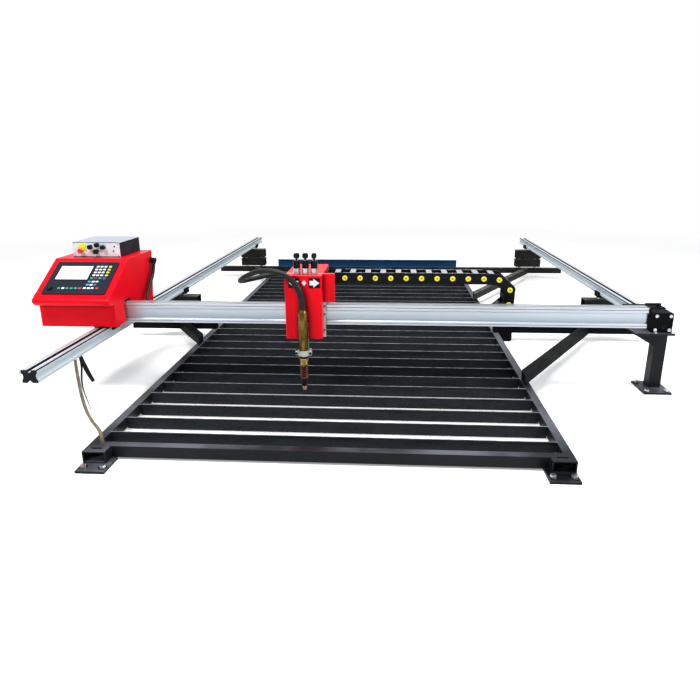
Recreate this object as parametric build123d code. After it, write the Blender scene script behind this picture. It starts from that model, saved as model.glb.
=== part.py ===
import os
from math import atan2, cos, degrees, hypot, pi, radians, sin, tan
from build123d import *

os.makedirs("parts", exist_ok=True)

# Portable gantry cutting machine. Millimetres, Z up, floor at Z = 0.
# X runs along the gantry beam to the right, Y along the two rails to the back.

# Cutting table
table_width = 1516
table_length = 3210
table_left = -931
table_front = -1650
foot_width = 92
foot_length = 98
foot_inward = 8
foot_thickness = 8
frame_height = 39
frame_width = 30
side_width = 24
frame_wall = 3
stub_width = 74
left_stub_reach = 43
right_stub_reach = 25
stub_wall = 4
stub_slot_width = 10
stub_slot_set_back = 26
slat_pitch = 118
slat_first_in = 106
slat_thickness = 5
slat_height = 43
slat_end_height = 33
slat_end_gap = 2
slat_clearance = 0.5
comb_thickness = 5
anchor_radius = 6
anchor_hole_clearance = 0.5
anchor_spacing = 62
anchor_set_in = 26
front_foot_reach = 53
back_foot_reach = 45
hex_radius = 10
hex_height = 7
washer_radius = 13
washer_thickness = 2

# Cross arms, braces and rear panel
arm_size = 40
arm_wall = 3
arm_half_length = 1365
mid_arm_y = -240
back_arm_set_in = 40
right_brace_out = 462
right_brace_run = 740
left_brace_out = 178
left_brace_run = 270
back_brace_run = 949
arm_foot_gap = 4
arm_foot_width = 66
arm_foot_corner = 6
panel_height = 58
panel_thickness = 4
panel_set_in = 40
panel_flange = 14

# Rails and their supports
rail_gauge = 2190
rail_middle_x = 5
rail_width = 50
rail_height = 42
rail_bottom = 252
left_rail_front = -1640
right_rail_front = -938
rail_back_reach = 182
rail_groove_radius = 8
rail_slot_width = 5
rail_slot_depth = 4
rail_slot_offset = 17
rail_side_radius = 17
rail_side_depth = 5
rail_vee_width = 18
rail_vee_depth = 9
rail_bore_radius = 4
cap_thickness = 3
riser_size = 70
riser_wall = 5
riser_length = 190
riser_base_gap = 12
riser_lower_height = 58
riser_gap = 8
riser_upper_height = 62
riser_stud_offset = 60
saddle_base = 12
saddle_length = 60
saddle_jaw = 9
saddle_jaw_height = 14
saddle_gap = 0.3
level_screw_radius = 6
level_screw_offset = 22
level_screw_engage = 12
level_nut_height = 10
rack_width = 10
rack_height = 12
rack_drop = 3

# Right front leg and rail end block
leg_size = 48
leg_right = 32
leg_wall = 4
leg_front = -928
leg_plate_width = 108
leg_plate_length = 140
leg_plate_set_back = 62
leg_bolt_inset = 16
head_thickness = 8
head_left = 110
head_right = 42
head_front = 38
head_back = 78
gusset_drop = 55
gusset_width = 46
block_left = 45
block_right = 34
block_length = 70
block_height = 80
block_floor = 4
block_wall = 12
block_corner = 6
block_bolt_x = 27
block_bolt_z = 28
head_bolt_x = 32
head_bolt_set_in = 8
small_hex_radius = 7
small_hex_height = 5

# Gantry beam
beam_left = -1033
beam_right = 987
beam_front = -1062
beam_depth = 45
beam_height = 78
beam_clear = 2
beam_band = 20
beam_low_band = 14
beam_recess = 5
beam_recess_slope = 4
beam_line = 2
beam_wall = 6
beam_top_slot_width = 8
beam_top_slot_depth = 5
beam_top_slot_inset = 11
cross_rack_depth = 8
cross_rack_height = 14
cross_rack_inset = 30

# Carriages on the rails
roller_radius = 14
roller_width = 26
roller_gap = 0.4
roller_clear = 4
roller_headroom = 2
axle_radius = 5
axle_land = 6
axle_clearance = 0.05
cheek_thickness = 7
cheek_gap = 1
pad_thickness = 8
pad_gap = 0.6
pad_length = 60
pad_drop = 15
left_plate_back = -790
left_plate_thickness = 8
left_plate_lift = 6
left_roller_front_y = -1090
left_roller_back_y = -850
mount_thickness = 10
right_plate_thickness = 10
right_saddle_front = -870
right_saddle_back = -800
right_saddle_thickness = 6
right_saddle_wall = 8
right_roller_y = -835
lever_hub_radius = 9
lever_hub_height = 8
lever_length = 50
lever_offset = 18
lever_stud_radius = 4
lever_stud = 9
turning_gap = 0.3
lever_width = 12
lever_thickness = 7
lever_y = -840
motor_size = 57
motor_height = 76
motor_corner = 4
motor_shaft_radius = 4
pinion_radius = 12
pinion_height = 12
pinion_gap = 0.4
pinion_teeth = 18
pinion_tooth_depth = 2

# Control console on the left carriage
console_left = -1321
console_right = -1025
console_bottom = 300
console_sheet = 2.5
console_lip_y = -1207
console_lip_z = 410
console_lip_radius = 11
console_top_front = -991
console_top_back = -743
console_top = 537
console_foot_back = -782
console_box_front = -1156
console_box_top = 388
console_beam_gap = 4
console_beam_headroom = 11
vent_count = 6
vent_length = 120
vent_width = 6
vent_pitch = 14
vent_drop = 60
panel_wide = 247
panel_tall = 186
panel_low = 39
panel_plate = 4
panel_corner = 5
unit_depth = 52
unit_wide = 216
unit_tall = 150
unit_clearance = 1
screen_wide = 127
screen_tall = 78
screen_left = 27
screen_low = 120
screen_proud = 0.8
port_left = 26
port_low = 69
port_radius = 11
port_proud = 7
port_taper = 8

# Torch height box on the console
box_left = -1270
box_wide = 195
box_front = -945
box_deep = 200
box_tall = 59
box_sheet = 2.5
estop_plate_left = 25
estop_plate_low = 25
estop_plate_wide = 31
estop_plate_tall = 27
estop_plate_thickness = 1.5
estop_x = 35
estop_z = 25
estop_radius = 10
estop_stem_radius = 6
estop_stem = 9
estop_stem_inside = 10
estop_head = 8
estop_round = 4
knob_radius = 9
knob_height = 15
knob_stem_radius = 3
knob_gap = 0.5
knob_stem = 8
knob_chamfer = 1.5
knob_pointer = 2
knob_pointer_in = 3
knob_pointer_down = 7.5
knob_places = [(75, 40), (104, 48), (128, 39), (98, 22)]

# Cable conduit and its elbow gland on the console's side
conduit_radius = 7
gland_radius = 9
gland_reach = 24
nipple_radius = 9
nipple_length = 15

# Cable chain
chain_front = -950
chain_width = 90
chain_plate = 4
chain_plate_gap = 0.4
chain_height = 44
chain_pitch = 61
chain_radius = 72
chain_upper_z = 458
chain_start_x = -192
chain_first_pin = 30
chain_turn_x = 425
chain_bracket = 40
chain_pin_radius = 10.5
chain_pin_proud = 3
chain_bar_width = 18
chain_bar_height = 5
chain_link_overlap = 14
chain_upper_links = 9
chain_turn_links = 5
chain_lower_links = 7
tray_thickness = 3
tray_lip = 24
tray_gap = 2
tray_right_gap = 62
tray_left = -985

# Torch carriage, lifter and covers
carriage_left = -380
carriage_right = -228
carriage_low = 250
carriage_high = 498
carriage_thickness = 10
carriage_gap = 5
cover_left = -376
cover_right = -236
cover_depth = 48
cover_low = 255
cover_high = 498
cover_sheet = 2.5
cover_corner = 5
cover_slot_gap = 1
lift_travel = 100
wing_right = -192
wing_depth = 20
rear_cover_back = -853
rear_cover_high = 497
rear_cover_clear = 4
guide_length = 60
guide_clear = 0.5
lift_motor_size = 42
lift_motor_height = 47
lift_motor_low = 443
lift_bracket_thickness = 8
lift_bracket_set_back = 3
lift_screw_radius = 5
lift_screw_low = 262
lift_screw_set_back = 24
lift_nut_low = 296
lift_nut_high = 326
lift_nut_width = 36
lift_nut_depth = 20
lift_nut_clearance = 0.4
traverse_motor_x = -290
valve_spacing = 33
valve_shift = 6
valve_set_back = 41
valve_hex_radius = 14
valve_hex_height = 22
valve_body_radius = 13
valve_body_height = 32
valve_collar_radius = 14.5
valve_collar_height = 5
valve_stem_radius = 4
valve_stem_height = 4
valve_gap = 0.5
valve_stem_inside = 10
valve_wing_width = 22
valve_wing_thickness = 8
valve_wing_height = 20
valve_wing_corner = 7
valve_turns = [35, 20, 60]

# Torch
torch_x = -306
torch_y = -1150
torch_top = 374
handle_radius = 18
handle_low = 217
neck_radius = 14
ring_low = 197
ring_radius = 21
ring_clearance = 0.2
head_radius = 15
head_low = 157
shield_radius = 16
shield_low = 105
collar_radius = 12
collar_low = 73
tip_radius = 9.5
tip_end_radius = 5
tip_low = 57
handle_shoulder = 8
handle_shoulder_in = 4
head_cone = 4
head_cone_in = 2
shield_nose = 8
shield_nose_in = 3
collar_nose = 3
collar_nose_in = 2
holder_bar_width = 30
holder_bar_thickness = 6

# Free cords: share of the shorter run that a bend takes up, diameter and route points
bend_share = 0.45
hose_diameter = 20
hose_points = [
    (-306, -1150, 374),
    (-306, -1150, 428),
    (-334, -1148, 480),
    (-390, -1140, 516),
    (-463, -1119, 517),
    (-526, -1076, 490),
    (-571, -1015, 459),
    (-588, -941, 440),
    (-564, -877, 435),
    (-504, -852, 447),
    (-440, -868, 459),
    (-376, -868, 459),
]
earth_diameter = 11
earth_points = [
    (-1073, -1400, 252),
    (-1073, -1400, 214),
    (-1057, -1425, 172),
    (-1033, -1463, 138),
    (-998, -1511, 106),
    (-955, -1561, 90),
    (-917, -1603, 88),
    (-894, -1630, 82),
    (-889, -1636, 66),
    (-889, -1636, 47),
]

# How far a cutting tool runs past the face it starts from
through = 1

table_right = table_left + table_width
table_back = table_front + table_length
table_top = foot_thickness + frame_height
rail_xs = [rail_middle_x - rail_gauge / 2, rail_middle_x + rail_gauge / 2]
rail_top = rail_bottom + rail_height
rail_back = table_back + rail_back_reach
back_arm_y = table_back - back_arm_set_in
arm_top = table_top + arm_size
lower_tube_low = arm_top + riser_base_gap
lower_tube_top = lower_tube_low + riser_lower_height
upper_tube_low = lower_tube_top + riser_gap
riser_top = upper_tube_low + riser_upper_height
saddle_bottom = rail_bottom - saddle_base
beam_bottom = rail_top + beam_clear
beam_top = beam_bottom + beam_height
beam_back = beam_front + beam_depth
roller_z = rail_top + roller_gap + roller_radius


def block(x0, x1, y0, y1, z0, z1):
    center = ((x0 + x1) / 2, (y0 + y1) / 2, (z0 + z1) / 2)
    return Pos(*center) * Box(x1 - x0, y1 - y0, z1 - z0)


axis_turn = {"X": Rot(0, 90, 0), "Y": Rot(-90, 0, 0), "Z": Rot(0, 0, 0)}


def rod(radius, start, length, axis):
    bottom = (Align.CENTER, Align.CENTER, Align.MIN)
    upright = Pos(0, 0, min(length, 0)) * Cylinder(radius, abs(length), align=bottom)
    return Pos(*start) * axis_turn[axis] * upright


def hexagon(radius, start, height, axis):
    return Pos(*start) * axis_turn[axis] * extrude(RegularPolygon(radius, 6), height)


def tube_x(x0, x1, y, size, z0, z1, wall):
    outer = block(x0, x1, y - size / 2, y + size / 2, z0, z1)
    half = size / 2 - wall
    return outer - block(x0 - through, x1 + through, y - half, y + half, z0 + wall, z1 - wall)


def along_x(outline, x0, x1):
    return Pos(x0, 0, 0) * extrude(Plane.YZ * outline, x1 - x0, dir=(1, 0, 0))


def along_y(outline, y0, y1):
    return Pos(0, y0, 0) * extrude(Plane.XZ * outline, y1 - y0, dir=(0, 1, 0))


def save(name, shapes):
    solids = shapes if isinstance(shapes, list) else [shapes]
    found = [solid for shape in solids for solid in shape.solids()]
    whole = found[0] if len(found) == 1 else Compound(children=found)
    export_step(whole, f"parts/{name}.step")


# Table frame: two side rails, end rails, corner stubs, slotted combs and foot plates
def frame_tube(x0, x1, y0, y1):
    inner = block(x0 + frame_wall, x1 - frame_wall, y0 + frame_wall, y1 - frame_wall,
                  foot_thickness + frame_wall, table_top - frame_wall)
    return block(x0, x1, y0, y1, foot_thickness, table_top) - inner


stub_back = table_front + frame_width


def stub(x0, front):
    return block(x0, x0 + stub_width, front, stub_back, foot_thickness, table_top)


def stub_mouth(x0, front):
    hollow = block(x0 + stub_wall, x0 + stub_width - stub_wall, front - through, stub_back - stub_wall,
                   foot_thickness + stub_wall, table_top - stub_wall)
    slot = Pos(x0 + stub_width / 2, front + stub_slot_set_back, table_top) * extrude(
        SlotOverall(stub_width / 2, stub_slot_width), stub_wall * 2, both=True)
    return hollow + slot


stubs = [(table_left, table_front - left_stub_reach),
         (table_right - stub_width, table_front - right_stub_reach)]
foot_spots = []
for (x0, front), inward in zip(stubs, (foot_inward, -foot_inward)):
    foot_x = x0 + stub_width / 2 + inward
    foot_spots.append((foot_x, front - front_foot_reach + foot_length / 2, -1))
    foot_spots.append((foot_x, table_back + back_foot_reach - foot_length / 2, 1))

anchor_spots = []
feet = []
for foot_x, foot_y, way in foot_spots:
    foot = block(foot_x - foot_width / 2, foot_x + foot_width / 2,
                 foot_y - foot_length / 2, foot_y + foot_length / 2, 0, foot_thickness)
    bolt_y = foot_y + way * (foot_length / 2 - anchor_set_in)
    for dx in (-anchor_spacing / 2, anchor_spacing / 2):
        spot = (foot_x + dx, bolt_y)
        anchor_spots.append(spot)
        foot -= rod(anchor_radius + anchor_hole_clearance, (*spot, -through),
                    foot_thickness + 2 * through, "Z")
    feet.append(foot)

slat_first = table_front + slat_first_in
slat_count = int((table_length - foot_length - slat_first_in) // slat_pitch) + 1
slat_ys = [slat_first + slat_pitch * i for i in range(slat_count)]
slat_low = table_top - slat_height
slat_end_low = table_top - slat_end_height
comb_inner_left = table_left + side_width
comb_inner_right = table_right - side_width
slot_half = slat_thickness / 2 + slat_clearance


def comb(x0):
    bar = block(x0, x0 + comb_thickness, table_front + frame_width, table_back - frame_width,
                foot_thickness, table_top)
    cuts = [block(x0 - through, x0 + comb_thickness + through, y - slot_half, y + slot_half,
                  slat_end_low, table_top + through) for y in slat_ys]
    return bar - cuts


table_frame = frame_tube(table_left, comb_inner_left, table_front, table_back)
table_frame += frame_tube(comb_inner_right, table_right, table_front, table_back)
table_frame += frame_tube(comb_inner_left, comb_inner_right, table_front, table_front + frame_width)
table_frame += frame_tube(comb_inner_left, comb_inner_right, table_back - frame_width, table_back)
for x0, front in stubs:
    table_frame += stub(x0, front)
table_frame += comb(comb_inner_left)
table_frame += comb(comb_inner_right - comb_thickness)
for foot in feet:
    table_frame += foot
for x0, front in stubs:
    table_frame -= stub_mouth(x0, front)
save("table_frame", table_frame)

# Slats hang in the combs by shallower ends
def slat(y):
    y0 = y - slat_thickness / 2
    y1 = y + slat_thickness / 2
    inset = comb_thickness + slat_end_gap
    ends = block(comb_inner_left + slat_clearance, comb_inner_right - slat_clearance, y0, y1,
                 slat_end_low, table_top)
    return ends + block(comb_inner_left + inset, comb_inner_right - inset, y0, y1, slat_low, table_top)


save("table_slats", [slat(y) for y in slat_ys])

# Cross arms on the side rails, each with a diagonal brace in plan that ends along the table's side
def brace(start, end):
    run = hypot(end[0] - start[0], end[1] - start[1])
    angle = degrees(atan2(end[1] - start[1], end[0] - start[0]))
    tail = 2 * arm_size
    bore = arm_size - 2 * arm_wall
    place = Pos(*start, table_top + arm_size / 2) * Rot(0, 0, angle) * Pos((run - tail) / 2, 0, 0)
    side = 1 if end[0] > start[0] else -1
    edge = start[0] - side * side_width / 2

    def inside_of(x):
        return block(*sorted((x, x - side * tail)), start[1] - 2 * tail, start[1] + 2 * tail,
                     table_top - through, arm_top + through)

    outer = place * Box(run + tail, arm_size, arm_size) - inside_of(edge)
    hollow = place * Box(run + tail + 2 * through, bore, bore) - inside_of(edge + side * arm_wall)
    return outer - hollow


def braced_arm(x0, x1, y, braces):
    arm = tube_x(x0, x1, y, arm_size, table_top, arm_top, arm_wall)
    solid_core = block(x0 - through, x1 + through, y - arm_size / 2, y + arm_size / 2, table_top, arm_top)
    for start, end in braces:
        arm += brace(start, end) - solid_core
    return arm


right_start = table_right - side_width / 2
left_start = table_left + side_width / 2
right_mid = ((right_start, mid_arm_y - right_brace_run), (right_start + right_brace_out, mid_arm_y))
left_mid = ((left_start, mid_arm_y - left_brace_run), (left_start - left_brace_out, mid_arm_y))
right_back = ((right_start, back_arm_y - back_brace_run), (rail_xs[1], back_arm_y))
left_back = ((left_start, back_arm_y - left_brace_run), (left_start - left_brace_out, back_arm_y))
arm_foot = block(table_right + arm_foot_gap, table_right + arm_foot_gap + arm_foot_width,
                 mid_arm_y - arm_size / 2, mid_arm_y + arm_size / 2, 0, table_top)
arm_foot = chamfer(arm_foot.edges().filter_by(Axis.Y).group_by(Axis.Z)[0], arm_foot_corner)
mid_arms = [
    braced_arm(comb_inner_right, arm_half_length, mid_arm_y, [right_mid]) + arm_foot,
    braced_arm(-arm_half_length, comb_inner_left, mid_arm_y, [left_mid]),
]
save("mid_arms", mid_arms)
save("back_cross_arm", braced_arm(-arm_half_length, arm_half_length, back_arm_y, [right_back, left_back]))

panel_y = back_arm_y
rear_panel = block(table_left + panel_set_in, table_right - panel_set_in, panel_y,
                   panel_y + panel_thickness, arm_top, arm_top + panel_height)
rear_panel += block(table_left + panel_set_in, table_right - panel_set_in, panel_y - panel_flange,
                    panel_y + panel_thickness, arm_top, arm_top + panel_thickness)
rear_panel += block(table_left + panel_set_in, table_right - panel_set_in, panel_y - panel_flange,
                    panel_y + panel_thickness, arm_top + panel_height - panel_thickness,
                    arm_top + panel_height)
save("rear_panel", rear_panel)

# Riser stacks: two short open tubes set off by studs with nuts, levelling screws and rail saddles
def stud(x, y, low, high, nuts):
    made = rod(level_screw_radius, (x, y, low), high - low, "Z")
    for nut_low, nut_high in nuts:
        made += hexagon(hex_radius, (x, y, nut_low), nut_high - nut_low, "Z")
    return made


def stud_hole(x, y, low, high):
    return rod(level_screw_radius + anchor_hole_clearance, (x, y, low - through),
               high - low + 2 * through, "Z")


base_stud_top = lower_tube_low + riser_wall + hex_height
base_nuts = [(arm_top, lower_tube_low), (lower_tube_low + riser_wall, base_stud_top)]
gap_stud_low = lower_tube_top - riser_wall - hex_height
gap_stud_top = upper_tube_low + riser_wall + hex_height
gap_nuts = [(gap_stud_low, lower_tube_top - riser_wall), (lower_tube_top, upper_tube_low),
            (upper_tube_low + riser_wall, gap_stud_top)]
risers = []
saddles = []
screws = []
for rail_x in rail_xs:
    for stack_y in (mid_arm_y, back_arm_y):
        x0 = rail_x - riser_length / 2
        x1 = rail_x + riser_length / 2
        lower = tube_x(x0, x1, stack_y, riser_size, lower_tube_low, lower_tube_top, riser_wall)
        upper = tube_x(x0, x1, stack_y, riser_size, upper_tube_low, riser_top, riser_wall)
        jaw_in = rail_width / 2 + saddle_gap
        jaw_out = jaw_in + saddle_jaw
        y0 = stack_y - saddle_length / 2
        y1 = stack_y + saddle_length / 2
        saddle = block(rail_x - jaw_out, rail_x + jaw_out, y0, y1, saddle_bottom, rail_bottom)
        for side in (-1, 1):
            near, far = sorted((rail_x + side * jaw_in, rail_x + side * jaw_out))
            saddle += block(near, far, y0, y1, rail_bottom, rail_bottom + saddle_jaw_height)
            stud_x = rail_x + side * riser_stud_offset
            screw_x = rail_x + side * level_screw_offset
            screws.append(stud(stud_x, stack_y, arm_top, base_stud_top, base_nuts))
            screws.append(stud(stud_x, stack_y, gap_stud_low, gap_stud_top, gap_nuts))
            screws.append(stud(screw_x, stack_y, riser_top - level_screw_engage, saddle_bottom,
                               [(riser_top, riser_top + level_nut_height)]))
            lower -= stud_hole(stud_x, stack_y, lower_tube_low, lower_tube_top)
            upper -= stud_hole(stud_x, stack_y, upper_tube_low, upper_tube_low + riser_wall)
            upper -= stud_hole(screw_x, stack_y, riser_top - riser_wall, riser_top)
        risers.append(lower)
        risers.append(upper)
        saddles.append(saddle)
save("riser_tubes", risers)
save("rail_saddles", saddles)
save("levelling_screws", screws)


# Rails: extruded section with a round top groove, side hollows and a bottom vee
def rail_outline(with_slots):
    half = rail_width / 2
    outline = Pos(0, rail_height / 2) * Rectangle(rail_width, rail_height)
    outline -= Pos(0, rail_height) * Circle(rail_groove_radius)
    for side in (-1, 1):
        outline -= Pos(side * (half - rail_side_depth + rail_side_radius), rail_height / 2) * Circle(
            rail_side_radius)
        if with_slots:
            outline -= Pos(side * rail_slot_offset, rail_height - rail_slot_depth / 2) * Rectangle(
                rail_slot_width, rail_slot_depth)
    vee = Polygon((-rail_vee_width / 2, 0), (rail_vee_width / 2, 0), (0, rail_vee_depth), align=None)
    outline -= vee
    if with_slots:
        outline -= Pos(0, rail_height / 2) * Circle(rail_bore_radius)
    return outline


def rail(rail_x, y0, y1):
    return Pos(rail_x, 0, rail_bottom) * along_y(rail_outline(True), y0, y1)


def rail_cap(rail_x, y0):
    return Pos(rail_x, 0, rail_bottom) * along_y(rail_outline(False), y0, y0 + cap_thickness)


save("left_rail", rail(rail_xs[0], left_rail_front, rail_back))
save("right_rail", rail(rail_xs[1], right_rail_front, rail_back))
save("rail_end_caps", [rail_cap(rail_xs[0], left_rail_front - cap_thickness),
                       rail_cap(rail_xs[0], rail_back), rail_cap(rail_xs[1], rail_back)])

rack_right = rail_xs[0] - rail_width / 2
rack_top = rail_top - rack_drop
travel_rack = block(rack_right - rack_width, rack_right, left_rail_front, rail_back,
                    rack_top - rack_height, rack_top)
save("travel_rack", travel_rack)

# Right front leg with base plate, flared head and the block that holds the rail end
leg_x = rail_xs[1]
leg_back = leg_front + leg_size
block_front = right_rail_front - block_wall
block_low = rail_bottom - block_floor
block_back = block_front + block_length
leg_head_low = block_low - head_thickness
leg_middle_y = (leg_front + leg_back) / 2
leg_side_right = leg_x + leg_right
leg_side_left = leg_side_right - leg_size
leg_plate_front = leg_front - leg_plate_set_back
leg_plate_back = leg_plate_front + leg_plate_length
leg = block(leg_side_left, leg_side_right, leg_front, leg_back, foot_thickness, leg_head_low)
leg -= block(leg_side_left + leg_wall, leg_side_right - leg_wall, leg_front + leg_wall,
             leg_back - leg_wall, foot_thickness, leg_head_low)
leg_plate = block(leg_x - leg_plate_width / 2, leg_x + leg_plate_width / 2,
                  leg_plate_front, leg_plate_back, 0, foot_thickness)
for side in (-1, 1):
    for bolt_y in (leg_plate_front + leg_bolt_inset, leg_plate_back - leg_bolt_inset):
        spot = (leg_x + side * (leg_plate_width / 2 - leg_bolt_inset), bolt_y)
        anchor_spots.append(spot)
        leg_plate -= rod(anchor_radius + anchor_hole_clearance, (*spot, -through),
                         foot_thickness + 2 * through, "Z")
leg += leg_plate
head_plate = block(leg_x - head_left, leg_x + head_right, leg_front - head_front,
                   leg_front + head_back, leg_head_low, block_low)
gusset = along_y(Polygon((leg_side_left, leg_head_low - gusset_drop), (leg_side_left, leg_head_low),
                         (leg_x - head_left, leg_head_low), align=None),
                 leg_middle_y - gusset_width / 2, leg_middle_y + gusset_width / 2)
leg += head_plate
leg += gusset
save("right_leg", leg)

anchors = []
for spot in anchor_spots:
    bolt = rod(anchor_radius, (*spot, 0), foot_thickness, "Z")
    bolt += rod(washer_radius, (*spot, foot_thickness), washer_thickness, "Z")
    bolt += hexagon(hex_radius, (*spot, foot_thickness + washer_thickness), hex_height, "Z")
    anchors.append(bolt)
save("floor_anchor_bolts", anchors)

block_top = block_low + block_height
end_block = block(leg_x - block_left, leg_x + block_right, block_front, block_back,
                  block_low, block_top)
end_block = fillet(end_block.edges().filter_by(Axis.Y), block_corner)
socket_half = rail_width / 2 + saddle_gap
end_block -= block(leg_x - socket_half, leg_x + socket_half, right_rail_front, block_back + through,
                   rail_bottom - saddle_gap, rail_top + saddle_gap)
save("rail_end_block", end_block)

block_middle_x = leg_x + (block_right - block_left) / 2
block_middle_z = (block_low + block_top) / 2
block_bolts = []
for dx in (-block_bolt_x, block_bolt_x):
    for dz in (-block_bolt_z, block_bolt_z):
        spot = (block_middle_x + dx, block_front, block_middle_z + dz)
        block_bolts.append(hexagon(small_hex_radius, spot, -small_hex_height, "Y"))
block_bolts.append(hexagon(small_hex_radius, (leg_x, block_front, rail_bottom + rail_height / 2),
                           -small_hex_height / 2, "Y"))
for dx in (-head_bolt_x, head_bolt_x):
    spot = (leg_x + dx, leg_front - head_front + head_bolt_set_in, block_low)
    block_bolts.append(hexagon(small_hex_radius, spot, small_hex_height, "Z"))
save("block_bolts", block_bolts)

# Gantry beam: hollow extrusion with a recessed front and back panel
def beam_outline():
    low = beam_low_band
    high = beam_height - beam_band
    deep = beam_depth - beam_recess
    outline = Polygon(
        (0, 0), (beam_depth, 0), (beam_depth, low), (deep, low + beam_recess_slope),
        (deep, high - beam_recess_slope), (beam_depth, high), (beam_depth, beam_height),
        (0, beam_height), (0, high), (beam_recess, high - beam_recess_slope),
        (beam_recess, low + beam_recess_slope), (0, low), align=None)
    for z in (beam_low_band / 2, beam_height - beam_band / 2):
        outline -= Pos(0, z) * Rectangle(2 * beam_line, beam_line)
    for y in (beam_top_slot_inset, beam_depth - beam_top_slot_inset):
        outline -= Pos(y, beam_height) * Rectangle(beam_top_slot_width, 2 * beam_top_slot_depth)
    inside_y = beam_depth - 2 * (beam_recess + beam_wall)
    inside_z = beam_height - 2 * beam_wall - beam_top_slot_depth
    outline -= Pos(beam_depth / 2, beam_wall + inside_z / 2) * Rectangle(inside_y, inside_z)
    return outline


beam = Pos(0, beam_front, beam_bottom) * along_x(beam_outline(), beam_left, beam_right)
save("beam", beam)
rack_z = beam_top - beam_band / 2
save("cross_rack", block(beam_left + cross_rack_inset, beam_right - cross_rack_inset, beam_back,
                         beam_back + cross_rack_depth, rack_z - cross_rack_height / 2,
                         rack_z + cross_rack_height / 2))

# Left carriage: plate with roller cheeks, guide pads and the mount for the beam
plate_low = rail_top + left_plate_lift
plate_high = plate_low + left_plate_thickness
left_plate_right = beam_left - mount_thickness
left_plate_left = console_left + console_sheet
left_plate_front = console_box_front + console_sheet
left_plate = block(left_plate_left, left_plate_right, left_plate_front, left_plate_back,
                   plate_low, plate_high)
left_plate += block(left_plate_right, beam_left, beam_front, beam_back, plate_low, beam_top)
roller_room = roller_radius + roller_clear
slot_reach = roller_width / 2 + cheek_gap
cheek_top = roller_z + axle_radius + axle_land


def cheeks(rail_x, y, z0, z1):
    made = []
    for side in (-1, 1):
        near, far = sorted((rail_x + side * slot_reach, rail_x + side * (slot_reach + cheek_thickness)))
        made.append(block(near, far, y - roller_radius, y + roller_radius, z0, z1))
    return made


def axle_hole(rail_x, y):
    reach = slot_reach + cheek_thickness + through
    return rod(axle_radius + axle_clearance, (rail_x - reach, y, roller_z), 2 * reach, "X")


def roller(rail_x, y):
    reach = slot_reach + cheek_thickness
    made = rod(roller_radius, (rail_x - roller_width / 2, y, roller_z), roller_width, "X")
    return made + rod(axle_radius, (rail_x - reach, y, roller_z), 2 * reach, "X")


pinion_x = rack_right - rack_width - pinion_gap - pinion_radius
pinion_y = (left_roller_front_y + left_roller_back_y) / 2
for roller_y in (left_roller_front_y, left_roller_back_y):
    left_plate -= block(rail_xs[0] - slot_reach, rail_xs[0] + slot_reach, roller_y - roller_room,
                        roller_y + roller_room, plate_low, plate_high)
    for cheek in cheeks(rail_xs[0], roller_y, plate_low, cheek_top):
        left_plate += cheek
    left_plate -= axle_hole(rail_xs[0], roller_y)
    pad_y0 = roller_y - pad_length / 2
    pad_y1 = roller_y + pad_length / 2
    inner = rail_xs[0] + rail_width / 2 + pad_gap
    outer = rack_right - rack_width - pad_gap
    left_plate += block(inner, inner + pad_thickness, pad_y0, pad_y1, rail_top - pad_drop, plate_low)
    left_plate += block(outer - pad_thickness, outer, pad_y0, pad_y1, rail_top - pad_drop, plate_low)
left_plate -= rod(motor_shaft_radius + axle_clearance, (pinion_x, pinion_y, plate_low - through),
                  left_plate_thickness + 2 * through, "Z")
save("left_carriage", left_plate)
save("left_front_roller", roller(rail_xs[0], left_roller_front_y))
save("left_rear_roller", roller(rail_xs[0], left_roller_back_y))

# Travel motor in the console, with its pinion against the rack
def motor(x, y, z0, size, height):
    body = block(x - size / 2, x + size / 2, y - size / 2, y + size / 2, z0, z0 + height)
    return chamfer(body.edges().filter_by(Axis.Z), motor_corner)


def pinion(x, y, z0, shaft_top):
    wheel = Circle(pinion_radius)
    for i in range(pinion_teeth):
        angle = 360 * (i + 0.5) / pinion_teeth
        gap = pi * pinion_radius / pinion_teeth
        wheel -= Rot(0, 0, angle) * Pos(pinion_radius, 0) * Rectangle(2 * pinion_tooth_depth, gap)
    made = Pos(x, y, z0) * extrude(wheel, pinion_height)
    return made + rod(motor_shaft_radius, (x, y, z0), shaft_top - turning_gap - z0, "Z")


save("travel_motor", motor(pinion_x, pinion_y, plate_high, motor_size, motor_height))
save("travel_pinion", pinion(pinion_x, pinion_y, rack_top - rack_height, plate_high))

# Right carriage: end plate of the beam and a saddle that rides on the right rail
saddle_under = roller_z + roller_radius + roller_headroom
saddle_top = saddle_under + right_saddle_thickness
wall_in = rail_width / 2 + pad_gap
right_plate_right = beam_right + right_plate_thickness
right_carriage = block(beam_right, right_plate_right, beam_front, beam_back, beam_bottom, beam_top)
right_carriage += block(beam_right, right_plate_right, beam_back, right_saddle_back, beam_bottom, saddle_top)
right_carriage += block(right_plate_right, leg_x + wall_in + right_saddle_wall, right_saddle_front,
                        right_saddle_back, saddle_under, saddle_top)
for side in (-1, 1):
    near, far = sorted((leg_x + side * wall_in, leg_x + side * (wall_in + right_saddle_wall)))
    right_carriage += block(near, far, right_saddle_front, right_saddle_back,
                            rail_top - pad_drop, saddle_under)
for cheek in cheeks(leg_x, right_roller_y, roller_z - axle_radius - axle_land, saddle_under):
    right_carriage += cheek
right_carriage -= axle_hole(leg_x, right_roller_y)
lever_x = leg_x + lever_offset
right_carriage += rod(lever_hub_radius, (lever_x, lever_y, saddle_top), lever_hub_height / 2, "Z")
right_carriage -= rod(lever_stud_radius + axle_clearance, (lever_x, lever_y, saddle_under),
                      right_saddle_thickness + lever_hub_height, "Z")
save("right_carriage", right_carriage)
save("right_roller", roller(leg_x, right_roller_y))

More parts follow.
